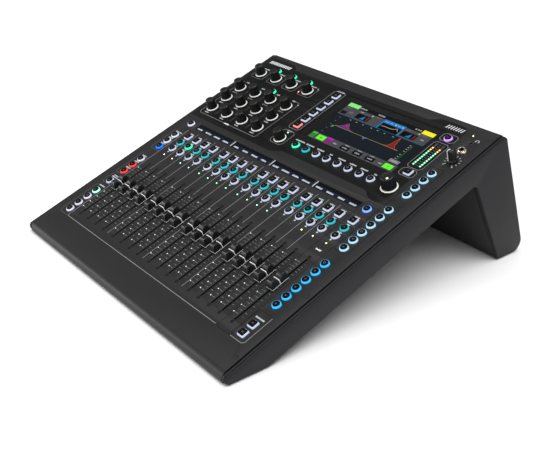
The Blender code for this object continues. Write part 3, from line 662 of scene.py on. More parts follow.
# ---- the control panel -------------------------------------------------------------------------------

HALF_WIDTH, LENGTH, SHEET = 213.3, 460.4, 1.6
NOSE, REAR_BEND = 9.0, 4.5
SLOT_HALF, SLOT_LOW, SLOT_HIGH = 1.25, 60.1, 171.7
GAP = 0.3
SCREEN = ((-26.5, 149.5), (333.0, 431.5))
METER = ((151.2, 171.4), (360.4, 406.8))
WINDOWS = [(-174, -97), (-90.5, -12.5), (-7.5, 70.5), (76.5, 152.5)]
WINDOW_S = (263.6, 275.8)
JACK, MINI_JACK = (191.4, 409.4), (191.4, 426.8)
# The darker overlay behind the knobs and the screen.
OVERLAY = [
    (-HALF_WIDTH + 0.6, 286), (-30, 286), (-17, 294.3), (139, 294.3), (151, 285.2), (166, 284.4), (173.2, 290),
    (173.2, 441), (166, 449.5), (127.5, 449.5), (112, 440.2), (-147, 440.2), (-158, 450.6),
    (-HALF_WIDTH + 0.6, 450.6),
]
OVERLAY_RADII = [0.5, 16, 16, 14, 14, 8, 5, 6, 5, 12, 12, 12, 12, 0.5]


def in_overlay(x, s):
    return s > 290 and x < 173


def square_hole(x, s, half, corner=1.5):
    return rounded(corners_of(x - half, x + half, s - half, s + half), corner)


def panel_openings():
    """Every cut-out as (x, s, outline)."""
    found = []
    for keys in KEYS.values():
        for x, s, square, _ in keys:
            found.append((x, s, square_hole(x, s, 5.75) if square else round_hole(x, s, 6.15)))
    for place in KNOB_PLACES.values():
        found.append((place.x, place.y, round_hole(place.x, place.y, 3.7, 20)))
    for x in ALL_STRIPS:
        slot = corners_of(x - SLOT_HALF, x + SLOT_HALF, SLOT_LOW, SLOT_HIGH)
        found.append((x, SLOT_LOW, rounded(slot, 1.15, 4)))
    for x_low, x_high in WINDOWS:
        found.append((x_low, WINDOW_S[0], rounded(corners_of(x_low, x_high, *WINDOW_S), 0.5, 2)))
    for (x_low, x_high), (s_low, s_high) in (SCREEN, METER):
        wide = corners_of(x_low - GAP, x_high + GAP, s_low - GAP, s_high + GAP)
        found.append((x_low, s_low, rounded(wide, 1.2)))
    found.append((*JACK, round_hole(*JACK, 4.9)))
    found.append((*MINI_JACK, round_hole(*MINI_JACK, 2.6, 24)))
    return found


def cut_sheet(name, outline, holes, low, high, material, edge=0.1):
    """A sheet with holes: a filled 2D curve, given its thickness and a fine edge, as a mesh."""
    curve = bpy.data.curves.new(name, "CURVE")
    curve.dimensions = "2D"
    curve.fill_mode = "BOTH"
    curve.extrude = ((high - low) / 2 - edge) * MM
    curve.bevel_depth = edge * MM
    curve.bevel_resolution = 1
    curve.offset = -edge * MM
    for path in [outline] + holes:
        spline = curve.splines.new("POLY")
        spline.points.add(len(path) - 1)
        for point, (x, s) in zip(spline.points, path):
            point.co = (x * MM, s * MM, 0, 1)
        spline.use_cyclic_u = True
    drawn = bpy.data.objects.new(name, curve)
    bpy.context.scene.collection.objects.link(drawn)
    bpy.context.view_layer.update()
    mesh = bpy.data.meshes.new_from_object(drawn.evaluated_get(bpy.context.evaluated_depsgraph_get()))
    bpy.data.objects.remove(drawn)
    mesh.transform(Matrix.Translation((0, 0, (low + high) / 2 * MM)))
    mesh.materials.clear()
    mesh.materials.append(material)
    finish_mesh(mesh, 30)
    mesh.name = name
    return mesh


def control_panel():
    openings = panel_openings()
    upper = [path for x, s, path in openings if in_overlay(x, s)]
    lower = [path for x, s, path in openings if not in_overlay(x, s)]
    overlay = rounded(OVERLAY, OVERLAY_RADII)
    flat = corners_of(-HALF_WIDTH, HALF_WIDTH, NOSE, LENGTH - REAR_BEND)
    main = cut_sheet("panel_sheet", flat, [overlay] + lower, -SHEET, 0, PAINT)
    put(bpy.data.objects.new("panel_sheet", main), replaces=["control_panel"])
    dark = cut_sheet("panel_overlay", overlay, upper, -SHEET, -0.02, SATIN)
    put(bpy.data.objects.new("panel_overlay", dark))
    bends()


def across(shape, outline, half, material, ends=1.2):
    """A closed (s, w) outline run across the console."""
    shape.rings([[(x, s, w) for s, w in outline] for x in (-half, -half + ends, half - ends, half)], material)


def bends():
    """The rounded nose in front and the bend over the back edge."""
    nose = Shape()
    outer = arc((NOSE, -NOSE), NOSE, 90, 183.8, 18) + [(0.8, -12)]
    inner = arc((NOSE, -NOSE), NOSE - SHEET, 90, 183.8, 18) + [(0.8 + SHEET, -12)]
    across(nose, outer + inner[::-1], HALF_WIDTH, PAINT)
    piece("panel_nose", nose, angle=50)
    back = Shape()
    centre = (LENGTH - REAR_BEND, -REAR_BEND)
    outer = arc(centre, REAR_BEND, 90, 3, 12) + [(LENGTH + 0.5, -9.6)]
    inner = arc(centre, REAR_BEND - SHEET, 90, 3, 12) + [(LENGTH + 0.5 - SHEET, -9.6)]
    across(back, outer + inner[::-1], HALF_WIDTH, PAINT)
    piece("panel_rear_bend", back, angle=50)


# ---- printing on the panel ---------------------------------------------------------------------------

SCALE_BRIGHT = [68.3, 79.7, 91.5, 103.2, 162.6]
SCALE_DIM = [73.9, 85.7, 97.1, 108.6, 114.6, 120.4, 126.2, 132.0, 137.8, 143.6, 149.3, 158.2]
SCALE_MIDDLE = [153.8]
INPUT_X = (-192.6, -157.3, -122.8, -88.2)
LEFT_LEGENDS = [
    (108.4, 12.5), (132.9, 9.5), (129.9, 12.0), (154.0, 11.0), (168.8, 10.0), (183.4, 10.5), (216.9, 11.0),
    (231.3, 9.5), (246.0, 13.5),
]
ROW_LEGENDS = [
    (-8.9, 18), (10.7, 15), (30.9, 13), (50.5, 5), (70.5, 13), (90.7, 11.5), (110.2, 12.5), (130.0, 5),
]


def fader_scales():
    shape = Shape()
    for x in ALL_STRIPS:
        for s in SCALE_BRIGHT:
            shape.stack(x - 10.6, s, circle(10), [(0.85, 0), (0.8, 0.06)], BRIGHT_INK)
            shape.dash(x - 7.3, s, 1.5, 0.55, GREY_INK)
            shape.dash(x - 4.6, s, 2.2, 0.6, GREY_INK)
            shape.dash(x + 4.9, s, 2.4, 0.5, DIM_INK)
        for s in SCALE_MIDDLE:
            shape.stack(x - 10.6, s, circle(10), [(0.65, 0), (0.6, 0.06)], GREY_INK)
        for s in SCALE_DIM + SCALE_MIDDLE:
            shape.dash(x - 7.6, s, 1.7, 0.5, DIM_INK)
            shape.dash(x - 4.5, s, 2.6, 0.5, GREY_INK)
            shape.dash(x + 4.5, s, 6.2 - 3.4, 0.5, GREY_INK)
    piece("fader_scales", shape)


def strip_dividers():
    """The thin lines between strips; those between groups of four run on to the front."""
    shape = Shape()
    for k, x in enumerate(STRIP_X):
        if k == 0:
            continue
        middle = (x + STRIP_X[k - 1]) / 2 - 0.4
        shape.stroke([(middle, 257.9), (middle, 56.5 if k % 4 == 0 else 168.6)], 0.7, GREY_INK)
    shape.stroke([(-179.5, 262), (-179.5, 276), (-177.6, 278.4)], 0.55, DIM_INK)
    shape.stroke([(-180.6, 257), (-180.6, 46.6), (-178.4, 44.1), (151.6, 44.1)], 0.85, GREY_INK)
    piece("strip_dividers", shape)


def group_frames():
    """Outlines with cut corners round groups of keys and knobs."""
    shape = Shape()
    left, right = -201.9, -180.6
    for s_low, s_high in ((43.9, 108.6), (115.6, 135.2), (139.2, 187.6), (201.4, 247.4)):
        outline = [(right, s_low), (left + 3, s_low), (left, s_low + 3), (left, s_high - 3), (left + 3, s_high)]
        shape.stroke(outline, 0.6, DIM_INK)
    for x in INPUT_X:
        top = [
            (x - 6.6, 422.7), (x - 10.2, 422.7), (x - 13.0, 419.9), (x - 13.0, 401.4), (x - 10.2, 398.6),
            (x + 10.0, 398.6), (x + 12.8, 401.4), (x + 12.8, 419.9), (x + 10.0, 422.7), (x + 6.6, 422.7),
        ]
        shape.stroke(top, 0.6, GREY_INK)
    equaliser_left = [(-145, 295.7), (-201.7, 295.7), (-204.7, 298.7), (-204.7, 380.3), (-201.9, 383.1)]
    equaliser_right = [
        (-133, 295.7), (-78.4, 295.7), (-75.4, 298.7), (-75.4, 380.3), (-78.2, 383.1), (-84.6, 383.1),
    ]
    shape.stroke(equaliser_left, 0.7, GREY_INK)
    shape.stroke(equaliser_right, 0.7, GREY_INK)
    for x in (-175.4, -140.1, -105.1):
        for s in (309, 337, 365):
            shape.dash(x, s, 0.6, 13, DIM_INK)
    shape.stroke(chamfered(-51.1, -29.9, 336.4, 431.4, 3.2), 0.7, GREY_INK, True)
    shape.stroke(chamfered(-52.4, -27.4, 301.2, 330.7, 4.0), 0.7, GREY_INK, True)
    for s_low, s_high in ((338.0, 352.2), (354.6, 410.0), (414.4, 429.2)):
        shape.stroke(chamfered(150.0, 172.4, s_low, s_high, 3.2), 0.65, GREY_INK, True)
    shape.stroke([(178.9, 43.2), (197.6, 43.2), (200.4, 46.0), (200.4, 86.0)], 0.8, GREY_INK)
    shape.stroke([(200.0, 87.4), (181.0, 87.4), (178.0, 84.4), (178.0, 46.0)], 0.5, DARK_INK)
    for x_low, x_high, s_low, s_high in ((154.6, 176.9, 42.8, 281.5), (178.6, 198.6, 200.5, 369)):
        shape.stroke(rounded(corners_of(x_low, x_high, s_low, s_high), 3.0), 0.5, DARK_INK, True)
    piece("group_frames", shape)


def letters(shape, x, s, width, height, material, draw, low=0.0, high=0.06):
    """Marks that read as small print without being any letters: short strokes of uneven width."""
    end = x + width / 2
    at = x - width / 2
    while at < end - 0.2:
        step = min(draw.uniform(0.55, 1.25) * height * 0.5, end - at)
        tall = height * draw.choice((1.0, 1.0, 0.78))
        shape.dash(at + step * 0.4, s - (height - tall) / 2, step * 0.74, tall, material, low, high)
        at += step


def legends():
    shape, draw = Shape(), random.Random(7)
    for x in ALL_STRIPS:
        letters(shape, x + 0.5, 252.9, 8.4, 2.0, INK, draw)
        letters(shape, x + 0.3, 237.8, 5.4, 1.8, INK, draw)
        letters(shape, x + 0.3, 223.1, 7.4, 1.9, INK, draw)
        shape.stack(x, 208.4, circle(14), [(1.25, 0), (1.2, 0.06)], INK)
        shape.stack(x, 205.0, circle(10), [(0.6, 0), (0.55, 0.06)], DIM_INK)
    letters(shape, MASTER_X, 188.8, 8.4, 2.4, BRIGHT_INK, draw)
    for s, width in LEFT_LEGENDS:
        letters(shape, LEFT_X - 0.3, s, width, 2.0, INK, draw)
    letters(shape, RIGHT_X + 0.6, 78.0, 14.5, 2.2, INK, draw)
    for x in INPUT_X:
        letters(shape, x, 422.7, 11.5, 2.2, INK, draw)
        letters(shape, x, 383.1, 6.4, 2.1, INK, draw)
        letters(shape, x, 356.0, 10.8, 2.1, GREY_INK, draw)
        letters(shape, x, 328.4, 8.2, 2.1, INK, draw)
        letters(shape, x, 300.8, 8.2, 2.1, INK, draw)
    shape.dash(-76.9, 420.6, 2.4, 1.6, INK)
    shape.dash(-75.6, 378.9, 2.4, 1.6, INK)
    letters(shape, -139.1, 295.9, 10.5, 2.4, BRIGHT_INK, draw)
    letters(shape, SIDE_X - 1.0, 431.4, 14.0, 2.2, INK, draw)
    letters(shape, -40.0, 330.7, 9.0, 2.0, INK, draw)
    for x, width in ROW_LEGENDS:
        letters(shape, x, 322.0, width, 2.2, INK, draw)
    headphone_sign(shape, 196.4, 433.6)
    maker_spots(shape)
    piece("legends", shape)


def headphone_sign(shape, x, s):
    turns = [math.radians(20 * k) for k in range(10)]
    band = [(x + 2.2 * math.cos(a), s + 1.9 * math.sin(a)) for a in turns]
    shape.stroke(band, 0.7, INK)
    for side in (-1, 1):
        shape.dash(x + 2.1 * side, s - 1.0, 1.2, 2.2, INK)


def maker_spots(shape):
    """Rows of plain leaning bars at the top corners: count, start, pitch, width, span in s and lean."""
    left, right = (13, -205.0, 3.6, 1.9, 437.2, 443.4, 1.6), (7, 142.0, 4.0, 1.3, 437.6, 444.4, 1.8)
    for count, start, pitch, width, s_low, s_high, lean in (left, right):
        for k in range(count):
            x = start + pitch * k
            bar = [(x, s_low), (x + width, s_low), (x + width + lean, s_high), (x + lean, s_high)]
            shape.prism(bar, 0, 0.06, BRIGHT_INK)


def phones_ticks():
    shape = Shape()
    x, s = PHONES
    for k in range(11):
        a = math.radians(236 - 29.2 * k)
        out = Vector((math.cos(a), math.sin(a)))
        shape.stroke([Vector((x, s)) + out * 8.4, Vector((x, s)) + out * 10.6], 0.75, INK)
    for k in (0, 10):
        a = math.radians(236 - 29.2 * k)
        shape.stack(x + 12.0 * math.cos(a), s + 12.0 * math.sin(a), circle(12), [(0.9, 0), (0.85, 0.06)], INK)
    piece("phones_ticks", shape)


# ---- lights, screws and small hardware ---------------------------------------------------------------


def led(shape, x, s, material, radius=1.0, core=True):
    dome = [(radius, -1.2), (radius, 0.0), (radius * 0.86, 0.28), (radius * 0.5, 0.5), (radius * 0.12, 0.56)]
    shape.stack(x, s, circle(20), dome, material)
    if core:
        shape.stack(x, s, circle(12), [(radius * 0.42, 0.45), (radius * 0.3, 0.62)], WHITE_CORE)


def strip_leds():
    shape = Shape()
    looks = [YELLOW_LED] * 2 + [CYAN_LED] * 2 + [GREEN_LED] * 8 + [UNLIT] * 2 + [LIME_LED] * 2 + [ORANGE_LED]
    for x, material in zip(ALL_STRIPS, looks):
        led(shape, x, 201.4, material, core=material is not UNLIT)
    led(shape, -100.5, 403.0, RED_LED, 1.1)
    led(shape, -39.8, 326.8, GREEN_LED, 1.2)
    led(shape, 184.7, 439.8, LIME_LED, 0.9, core=False)
    piece("panel_leds", shape)


def panel_screws():
    shape = Shape()
    for side in (-1, 1):
        for k in range(5):
            x, s = side * 207.2, 27 + 104.07 * k
            head = [(2.3, -0.2), (2.5, 0.0), (2.45, 0.5), (2.1, 0.85), (1.5, 0.95)]
            shape.stack(x, s, circle(24), head, DARK_STEEL)
            # painted shade: a near-black disc on the head where its recess would be
            shape.stack(x, s, circle(6), [(1.2, 0.9), (1.1, 0.99)], RECESS_SHADE)
    for x in ALL_STRIPS:
        for s in (57.2, 174.6):
            shape.stack(x, s, circle(20), [(2.3, -0.1), (2.3, 0.02), (2.15, 0.07), (1.4, 0.08)], DARK_INK)
            # painted shade: a near-black disc where the screw's recess would be
            shape.stack(x, s, circle(6), [(0.9, 0.05), (0.85, 0.1)], RECESS_SHADE)
    piece("panel_screws", shape)


def phones_sockets():
    """The large socket's nut and washer, and the small socket beside it."""
    shape = Shape()
    x, s = JACK
    round_48, flats = circle(48), hexagon(48)
    washer = [(3.6, 0.2), (5.9, 0.2), (6.0, 0.4), (5.8, 0.6), (3.6, 0.6)]
    tube(shape, [ring_at(x, s, round_48(radius), w) for radius, w in washer], NICKEL)
    nut = [
        (round_48, 3.4, 0.6), (flats, 5.2, 0.6), (flats, 5.2, 2.2), (round_48, 5.1, 2.4), (round_48, 4.8, 3.0),
        (round_48, 4.4, 3.4), (round_48, 3.7, 3.4), (round_48, 3.3, 3.0),
    ]
    tube(shape, [ring_at(x, s, outline(radius), w) for outline, radius, w in nut], NICKEL)
    bore = [(3.35, 3.0), (4.4, 2.0), (4.4, -12), (3.2, -12), (3.2, 2.9)]
    tube(shape, [ring_at(x, s, round_48(radius), w) for radius, w in bore], SOCKET)
    # painted shade: a near-black disc closing the bottom of the bore
    shape.stack(x, s, circle(24), [(3.3, -12.4), (3.3, -12.0)], RECESS_SHADE)
    x, s = MINI_JACK
    small = [(1.8, 0.1), (1.8, -11), (2.5, -11), (2.5, -0.2), (3.3, 0.02), (3.3, 0.2), (2.2, 0.35)]
    tube(shape, [ring_at(x, s, circle(32)(radius), w) for radius, w in small], SOCKET)
    # painted shade: a near-black disc closing the bottom of the small bore
    shape.stack(x, s, circle(24), [(1.9, -11.4), (1.9, -11.0)], RECESS_SHADE)
    shape.block((183.4, 399.4, -14.6), (187.0, 432.6, -2.2), SOCKET)
    shape.block((195.8, 399.4, -14.6), (200.6, 432.6, -2.2), SOCKET)
    shape.block((187.0, 399.4, -14.6), (195.8, 404.6, -2.2), SOCKET)
    shape.block((187.0, 414.6, -14.6), (195.8, 424.0, -2.2), SOCKET)
    piece("phones_socket_fittings", shape, replaces=["headphone_sockets"])


def hexagon(steps):
    """A six-sided outline with the points of a circle, its radius across flats."""

    def outline(size):
        points = []
        for k in range(steps):
            a = math.tau * k / steps
            fold = (a + math.pi / 6) % (math.pi / 3) - math.pi / 6
            points.append((size * math.cos(a) / math.cos(fold), size * math.sin(a) / math.cos(fold)))
        return points

    return outline


def tube(shape, rings, material):
    """Rings skinned one to the next and back to the first, as a body with a hole through it."""
    count = len(rings[0])
    faces = []
    for level in range(len(rings)):
        after = (level + 1) % len(rings)
        for k in range(count):
            a, b = k, (k + 1) % count
            faces.append([level * count + a, level * count + b, after * count + b, after * count + a])
    shape.add([p for ring in rings for p in ring], faces, material)


# ---- displays ----------------------------------------------------------------------------------------

NAME_LIGHT = lit("name_light", (0.62, 0.70, 0.78), 0.75, 0.2)
NAME_GROUND = screen_colour("name_ground", (0.012, 0.013, 0.030))
NAME_WIDTHS = (11, 12.5, 13.5, 12, 10, 11, 12, 10, 11, 14, 12, 14, 11, 12, 11, 11)

def name_display():
    """Dark glass behind the four windows, with plain marks where channel names light up."""
    shape, draw = Shape(), random.Random(11)
    shape.block((-176, 262.6, -5.4), (154.5, 277.4, -1.95), GLASS)
    for x_low, x_high in WINDOWS:
        shape.block((x_low + 0.3, 263.9, -1.96), (x_high - 0.3, 275.5, -0.5), GLASS)
        shape.block((x_low + 3, 264.0, -0.52), (x_high - 0.4, 270.6, -0.46), NAME_GROUND)
    for x, width in zip(STRIP_X, NAME_WIDTHS):
        letters(shape, x + 1.0, 267.2, width, 2.7, NAME_LIGHT, draw, -0.46, -0.42)
    piece("name_display_glass", shape, replaces=["name_display"])
    bars = Shape()
    for left, right in zip(WINDOWS, WINDOWS[1:]):
        x = (left[1] + right[0]) / 2 + 1.6
        bars.stroke([(x, WINDOW_S[0] + 0.6), (x, WINDOW_S[1] - 0.4)], 1.5, INK)
    piece("window_separators", bars)


def level_meter():
    shape = Shape()
    (x_low, x_high), (s_low, s_high) = METER
    shape.prism(rounded(corners_of(x_low, x_high, s_low, s_high), 1.0), -5.4, -0.15, LENS)
    for x in (155.7, 166.6):
        for k in range(12):
            s = 361.6 + 4.0 * k
            material = METER_GREEN if k < 8 else METER_ORANGE if k < 10 else UNLIT
            shape.dash(x, s, 3.4, 3.8, material, -0.16, -0.1)
            if material is not UNLIT:
                core = METER_CORE if k < 8 else ORANGE_CORE
                shape.stack(x, s, circle(16), [(1.05, -0.12), (1.0, -0.02), (0.7, 0.08)], core)
            shape.dash(160.2, s, 0.9, 0.9, GREY_INK, -0.16, -0.1)
            shape.dash(162.3, s, 0.9, 0.9, GREY_INK, -0.16, -0.1)
    piece("level_meter_leds", shape, replaces=["level_meter"])


METER_GREEN = lit("meter_green", (0.0, 0.24, 0.075), 1.0)
METER_ORANGE = lit("meter_orange", (0.30, 0.085, 0.006), 1.0)
METER_CORE = lit("meter_core", (0.55, 1.0, 0.72), 1.3)
ORANGE_CORE = lit("orange_core", (1.0, 0.75, 0.38), 1.3)

UI_X, UI_S = (-11.0, 141.6), (336.0, 421.6)
UI_LEVEL = -1.28


def touchscreen():
    """The module: a bezel stepped down round the glass."""
    shape = Shape()
    (x_low, x_high), (s_low, s_high) = SCREEN
    steps = [
        (x_low, x_high, s_low, s_high, -12), (x_low, x_high, s_low, s_high, -0.5),
        (-19.2, 143.3, 334.6, 428.2, -0.5), (-18.9, 143.0, 334.9, 427.9, -0.85),
        (-15.6, 142.8, 335.0, 425.2, -0.85), (-15.4, 142.7, 335.1, 425.0, -1.15),
        (-12.2, 142.4, 335.3, 422.8, -1.15), (-12.0, 142.2, 335.4, 422.6, -1.4),
    ]
    shape.rings([ring_at(0, 0, rounded(corners_of(*sides), 1.2), w) for *sides, w in steps], SATIN)
    shape.block((-11.8, 335.6, -1.42), (142.0, 422.4, -1.32), GLASS)
    piece("touchscreen_bezel", shape, replaces=["touchscreen"])


class Picture:
    """Flat patches of light on the screen, each a little above the one before."""

    def __init__(self):
        self.shape, self.level = Shape(), 0

    def area(self, outline, colour, level):
        low = UI_LEVEL + 0.02 * level
        self.shape.prism(outline, low - 0.02, low, UI[colour])

    def box(self, x_low, x_high, s_low, s_high, colour, level=1):
        self.area(corners_of(x_low, x_high, s_low, s_high), colour, level)

    def line(self, path, width, colour, level=3):
        low = UI_LEVEL + 0.02 * level
        self.shape.stroke(path, width, UI[colour], False, low - 0.02, low)

    def words(self, x, s, width, height, colour, draw, level=3):
        low = UI_LEVEL + 0.02 * level
        letters(self.shape, x, s, width, height, UI[colour], draw, low - 0.02, low)


def bell(x, middle, spread, height):
    return height / (1 + ((x - middle) / spread) ** 2) ** 1.5


def screen_graph(picture):
    """The equaliser graph: a grid, a baseline and three filters."""
    left, right, low, high = UI_X[0], UI_X[1], 349.4, 394.8
    base = 371.9
    picture.box(left, right, low, high, "graph")
    for k in range(1, 15):
        x = left + (right - left - 20) * k / 14
        picture.box(x - 0.12, x + 0.12, low, high - 5, "grid", 2)
    for k in range(1, 8):
        s = low + (high - low) * k / 8
        picture.box(left, right - 18, s - 0.12, s + 0.12, "grid", 2)
    for x in (17.4, 28.6, 40.6, 56, 67.5, 79.6, 94.8):
        picture.box(x - 1.2, x + 1.2, 390.6, 391.6, "mark", 3)
    for s in (354.6, 363.0, 371.9, 380.2, 389.0):
        picture.box(-2.2, 0.6, s - 0.4, s + 0.4, "dim_mark", 3)
    fill(picture, 22.4, 6.6, 11.6, base, 6.5, 40, "purple", "edge_rose")
    fill(picture, 106.0, 3.4, 21.0, base, 92.5, 119, "red", "edge_orange")
    fill(picture, 62.0, 2.2, -4.2, base, 57, 68, "dip_blue", "dim_mark")
    picture.line([(2.4, 366.4), (4.2, 369.6), (7.5, base), (119.5, base)], 0.65, "curve", 5)
    picture.area(round_hole(4.4, 369.4, 1.7, 14), "leaf", 6)
    picture.area(round_hole(23.0, 378.6, 1.7, 14), "magenta", 6)
    picture.area(round_hole(62.0, 369.6, 1.3, 14), "blue", 6)
    picture.area(round_hole(106.0, 391.6, 1.2, 14), "edge_orange", 6)


def fill(picture, middle, spread, height, base, start, end, colour, edge):
    """One filter's curve, filled down to the baseline."""
    steps = 30
    xs = [start + (end - start) * k / steps for k in range(steps + 1)]
    curve = [(x, base + bell(x, middle, spread, height)) for x in xs]
    for one, two in zip(curve, curve[1:]):
        low, high = sorted((base, (one[1] + two[1]) / 2))
        if high - low > 0.15:
            foot = [(one[0], base), (two[0], base)]
            picture.area(foot + [two, one] if height > 0 else [one, two] + foot[::-1], colour, 3)
    picture.line(curve, 0.5, edge, 5)


def screen_picture():
    draw = random.Random(3)
    picture = Picture()
    left, right, low, high = *UI_X, *UI_S
    picture.box(left, right, low, high, "ground", 0)
    screen_graph(picture)
    picture.box(left, right, 395.0, 414.2, "panel")
    picture.box(left, 9.6, 414.2, high, "pale_green", 2)
    picture.box(122.0, right, 414.2, high, "yellow", 2)
    for x, width in ((14.5, 8), (20.5, 5), (50.0, 12), (111, 3.4), (117, 6)):
        picture.words(x, 418.2, width, 2.6, "mark", draw, 2)
    picture.words(49.4, 413.0, 9, 2.0, "dim_mark", draw, 2)
    for x_low, x_high in ((17.0, 40.4), (99.0, 122.8)):
        picture.box(x_low, x_high, 397.6, 408.2, "black", 2)
        x = (x_low + x_high) / 2
        picture.area([(x - 3.5, 399), (x + 3.5, 399), (x + 3.0, 406.6), (x + 0.5, 403.5)], "blue", 3)
        picture.box(x_high - 4.4, x_high - 2.2, 399, 407, "red", 3)
    picture.box(59.6, 97.2, 395.0, 415.2, "blue", 2)
    picture.box(61.8, 95.0, 395.4, 408.4, "black", 3)
    trace = [(64, 401.6), (70, 402.6), (78, 402.2), (84, 403.0), (88.5, 406.2), (92, 401.8)]
    picture.line(trace, 1.0, "beige", 4)
    for x in (39.6, 121.4, 81.2, 93.4):
        picture.area(round_hole(x, 411.6, 1.5, 12), "lime_dot", 4)
    for x, width in ((20, 6), (-4, 8), (66, 6), (74, 5), (87, 6), (104, 8), (130, 9)):
        picture.words(x, 411.6, width, 1.8, "dim_mark" if width > 6 else "mark", draw, 3)
    picture.box(-9.5, 0, 396.8, 403, "ground", 2)
    picture.words(6.2, 404.0, 7, 5.0, "dim_mark", draw, 3)
    picture.words(132.8, 403.6, 5, 2.2, "mark", draw, 3)
    picture.line([(left, 394.9), (59.6, 394.9)], 0.9, "border", 4)
    picture.line([(97.2, 394.9), (right, 394.9)], 0.9, "border", 4)
    bottom_bar(picture, draw)
    side_meter(picture)
    picture.box(122.4, 138.8, 350.8, 357.0, "button_grey", 3)
    picture.words(130.6, 353.9, 9, 2.0, "mark", draw, 4)
    piece("touchscreen_picture", picture.shape)


def bottom_bar(picture, draw):
    left, right, low, _ = *UI_X, *UI_S
    picture.box(left, right, low, 349.2, "panel")
    picture.box(-10.2, -1.8, 337.0, 345.6, "deep_green", 2)
    picture.box(-10.2, -1.8, 345.6, 349.0, "leaf", 2)
    picture.box(2.2, 16.6, 338.2, 347.2, "green", 2)
    picture.box(19.0, 28.4, 336.8, 345.6, "plum", 2)
    picture.box(19.0, 28.4, 345.6, 349.0, "magenta", 2)
    picture.words(36.0, 342.8, 6.5, 2.6, "mark", draw, 2)
    for x in (54.6, 77.4, 99.6):
        picture.box(x - 7.6, x + 7.6, 338.0, 345.6, "black", 2)
        picture.words(x, 342.0, 8.5, 2.0, "mark", draw, 3)
        picture.words(x, 347.4, 7.0, 1.6, "mark", draw, 2)
        picture.words(x + 1, 337.4, 6.0, 1.4, "dim_mark", draw, 3)
    picture.words(117.6, 342.4, 6.0, 2.4, "mark", draw, 2)
    picture.box(123.4, 137.6, 338.2, 347.0, "green", 2)
    picture.words(130.6, 342.6, 2.0, 2.4, "deep_green", draw, 3)
    picture.words(9.4, 342.8, 5.0, 2.2, "deep_green", draw, 3)


def side_meter(picture):
    for s in (359.6, 363.6, 368.2, 375.4, 380.0, 383.8, 387.6):
        picture.box(126.4, 128.8, s - 0.5, s + 0.5, "mark", 3)
    picture.box(129.8, 131.8, 358.0, 383.0, "meter_green", 3)
    picture.box(129.8, 131.8, 383.0, 387.6, "meter_orange", 3)


# ---- cheeks and chassis ------------------------------------------------------------------------------

SIDE_CORNERS = [
    (0.2, -0.8), (0.9, -12.4), (53, -33), (396.3, -33), (416.8, -175.3), (468, -195.4), (460.9, -0.8),
]
SIDE_RADII = [6, 6, 30, 7, 4, 14, 6]
CHEEK_INNER = 214.3
# (out, inset) from the inner face to the outer one, with the groove round the edge.
CHEEK_SECTION = [
    (0.0, 0.6), (0.15, 0.2), (0.5, 0.0), (2.6, 0.0), (2.9, 0.2), (3.2, 1.25), (3.45, 1.45), (3.8, 1.4),
    (4.1, 0.55), (4.4, 0.42), (4.9, 0.55), (5.35, 0.9), (5.6, 1.35), (5.7, 1.9),
]


def inset_path(corners, radii, inset, steps):
    """The rounded outline, moved inward; every inset gives the same number of points."""
    count = len(corners)
    points = [Vector(c) for c in corners]
    made = []
    for k, corner in enumerate(points):
        before = (corner - points[k - 1]).normalized()
        after = (points[(k + 1) % count] - corner).normalized()
        turn = math.atan2(before.x * after.y - before.y * after.x, before.dot(after))
        side = 1 if turn > 0 else -1
        left = Vector((-before.y, before.x))
        centre = corner - before * radii[k] * math.tan(abs(turn) / 2) + left * side * radii[k]
        shown = max(radii[k] - side * inset, 0.05)
        for i in range(steps + 1):
            spun = -side * left
            spun.rotate(Matrix.Rotation(turn * i / steps, 2))
            made.append(centre + shown * spun)
    return made


def cheeks():
    for name, side in (("left_cheek", -1), ("right_cheek", 1)):
        shape = Shape()
        rings = []
        for out, inset in CHEEK_SECTION:
            outline = inset_path(SIDE_CORNERS, SIDE_RADII, inset, 14)
            rings.append([(side * (CHEEK_INNER + out), p.x, p.y) for p in outline])
        shape.rings(rings, CHEEK)
        piece(name + "_moulding", shape, replaces=[name], angle=40)


def chassis():
    """Screws in the sheet below; the CAD sheets stay and take their coat."""
    shape = Shape()
    for x in (-150, -50, 50, 150):
        for s in (75, 380):
            head = [(1.6, -34.0), (2.6, -33.9), (3.0, -33.2), (3.0, -32.2)]
            shape.stack(x, s, circle(24), head, DARK_STEEL)
    piece("bottom_screws", shape)


# ---- the rear ----------------------------------------------------------------------------------------

REAR_TOP, REAR_BOTTOM = (460.9, -10.6), (466.4, -171.8)


def rear_s(w):
    share = (w - REAR_TOP[1]) / (REAR_BOTTOM[1] - REAR_TOP[1])
    return REAR_TOP[0] + share * (REAR_BOTTOM[0] - REAR_TOP[0])


def rear_place(x, w):
    """A frame on the rear panel: its own z points out of it, and its y up."""
    lean = math.atan((REAR_BOTTOM[0] - REAR_TOP[0]) / (REAR_TOP[1] - REAR_BOTTOM[1]))
    out = Vector((0, math.cos(lean), math.sin(lean)))
    up = Vector((0, -math.sin(lean), math.cos(lean)))
    local = Matrix((Vector((-1, 0, 0)), up, out)).transposed().to_4x4()
    local.translation = Vector((x, rear_s(w), w)) * MM
    return PANEL @ local


SOCKET_X = [(k - 3.5) * 31 + 48 for k in range(8)]
OUTPUT_X = [(k + 0.5) * 31 + 48 for k in range(4)]
SOCKET_PLACES = [(x, w) for w in (-38, -72) for x in SOCKET_X] + [(x, -106) for x in OUTPUT_X]


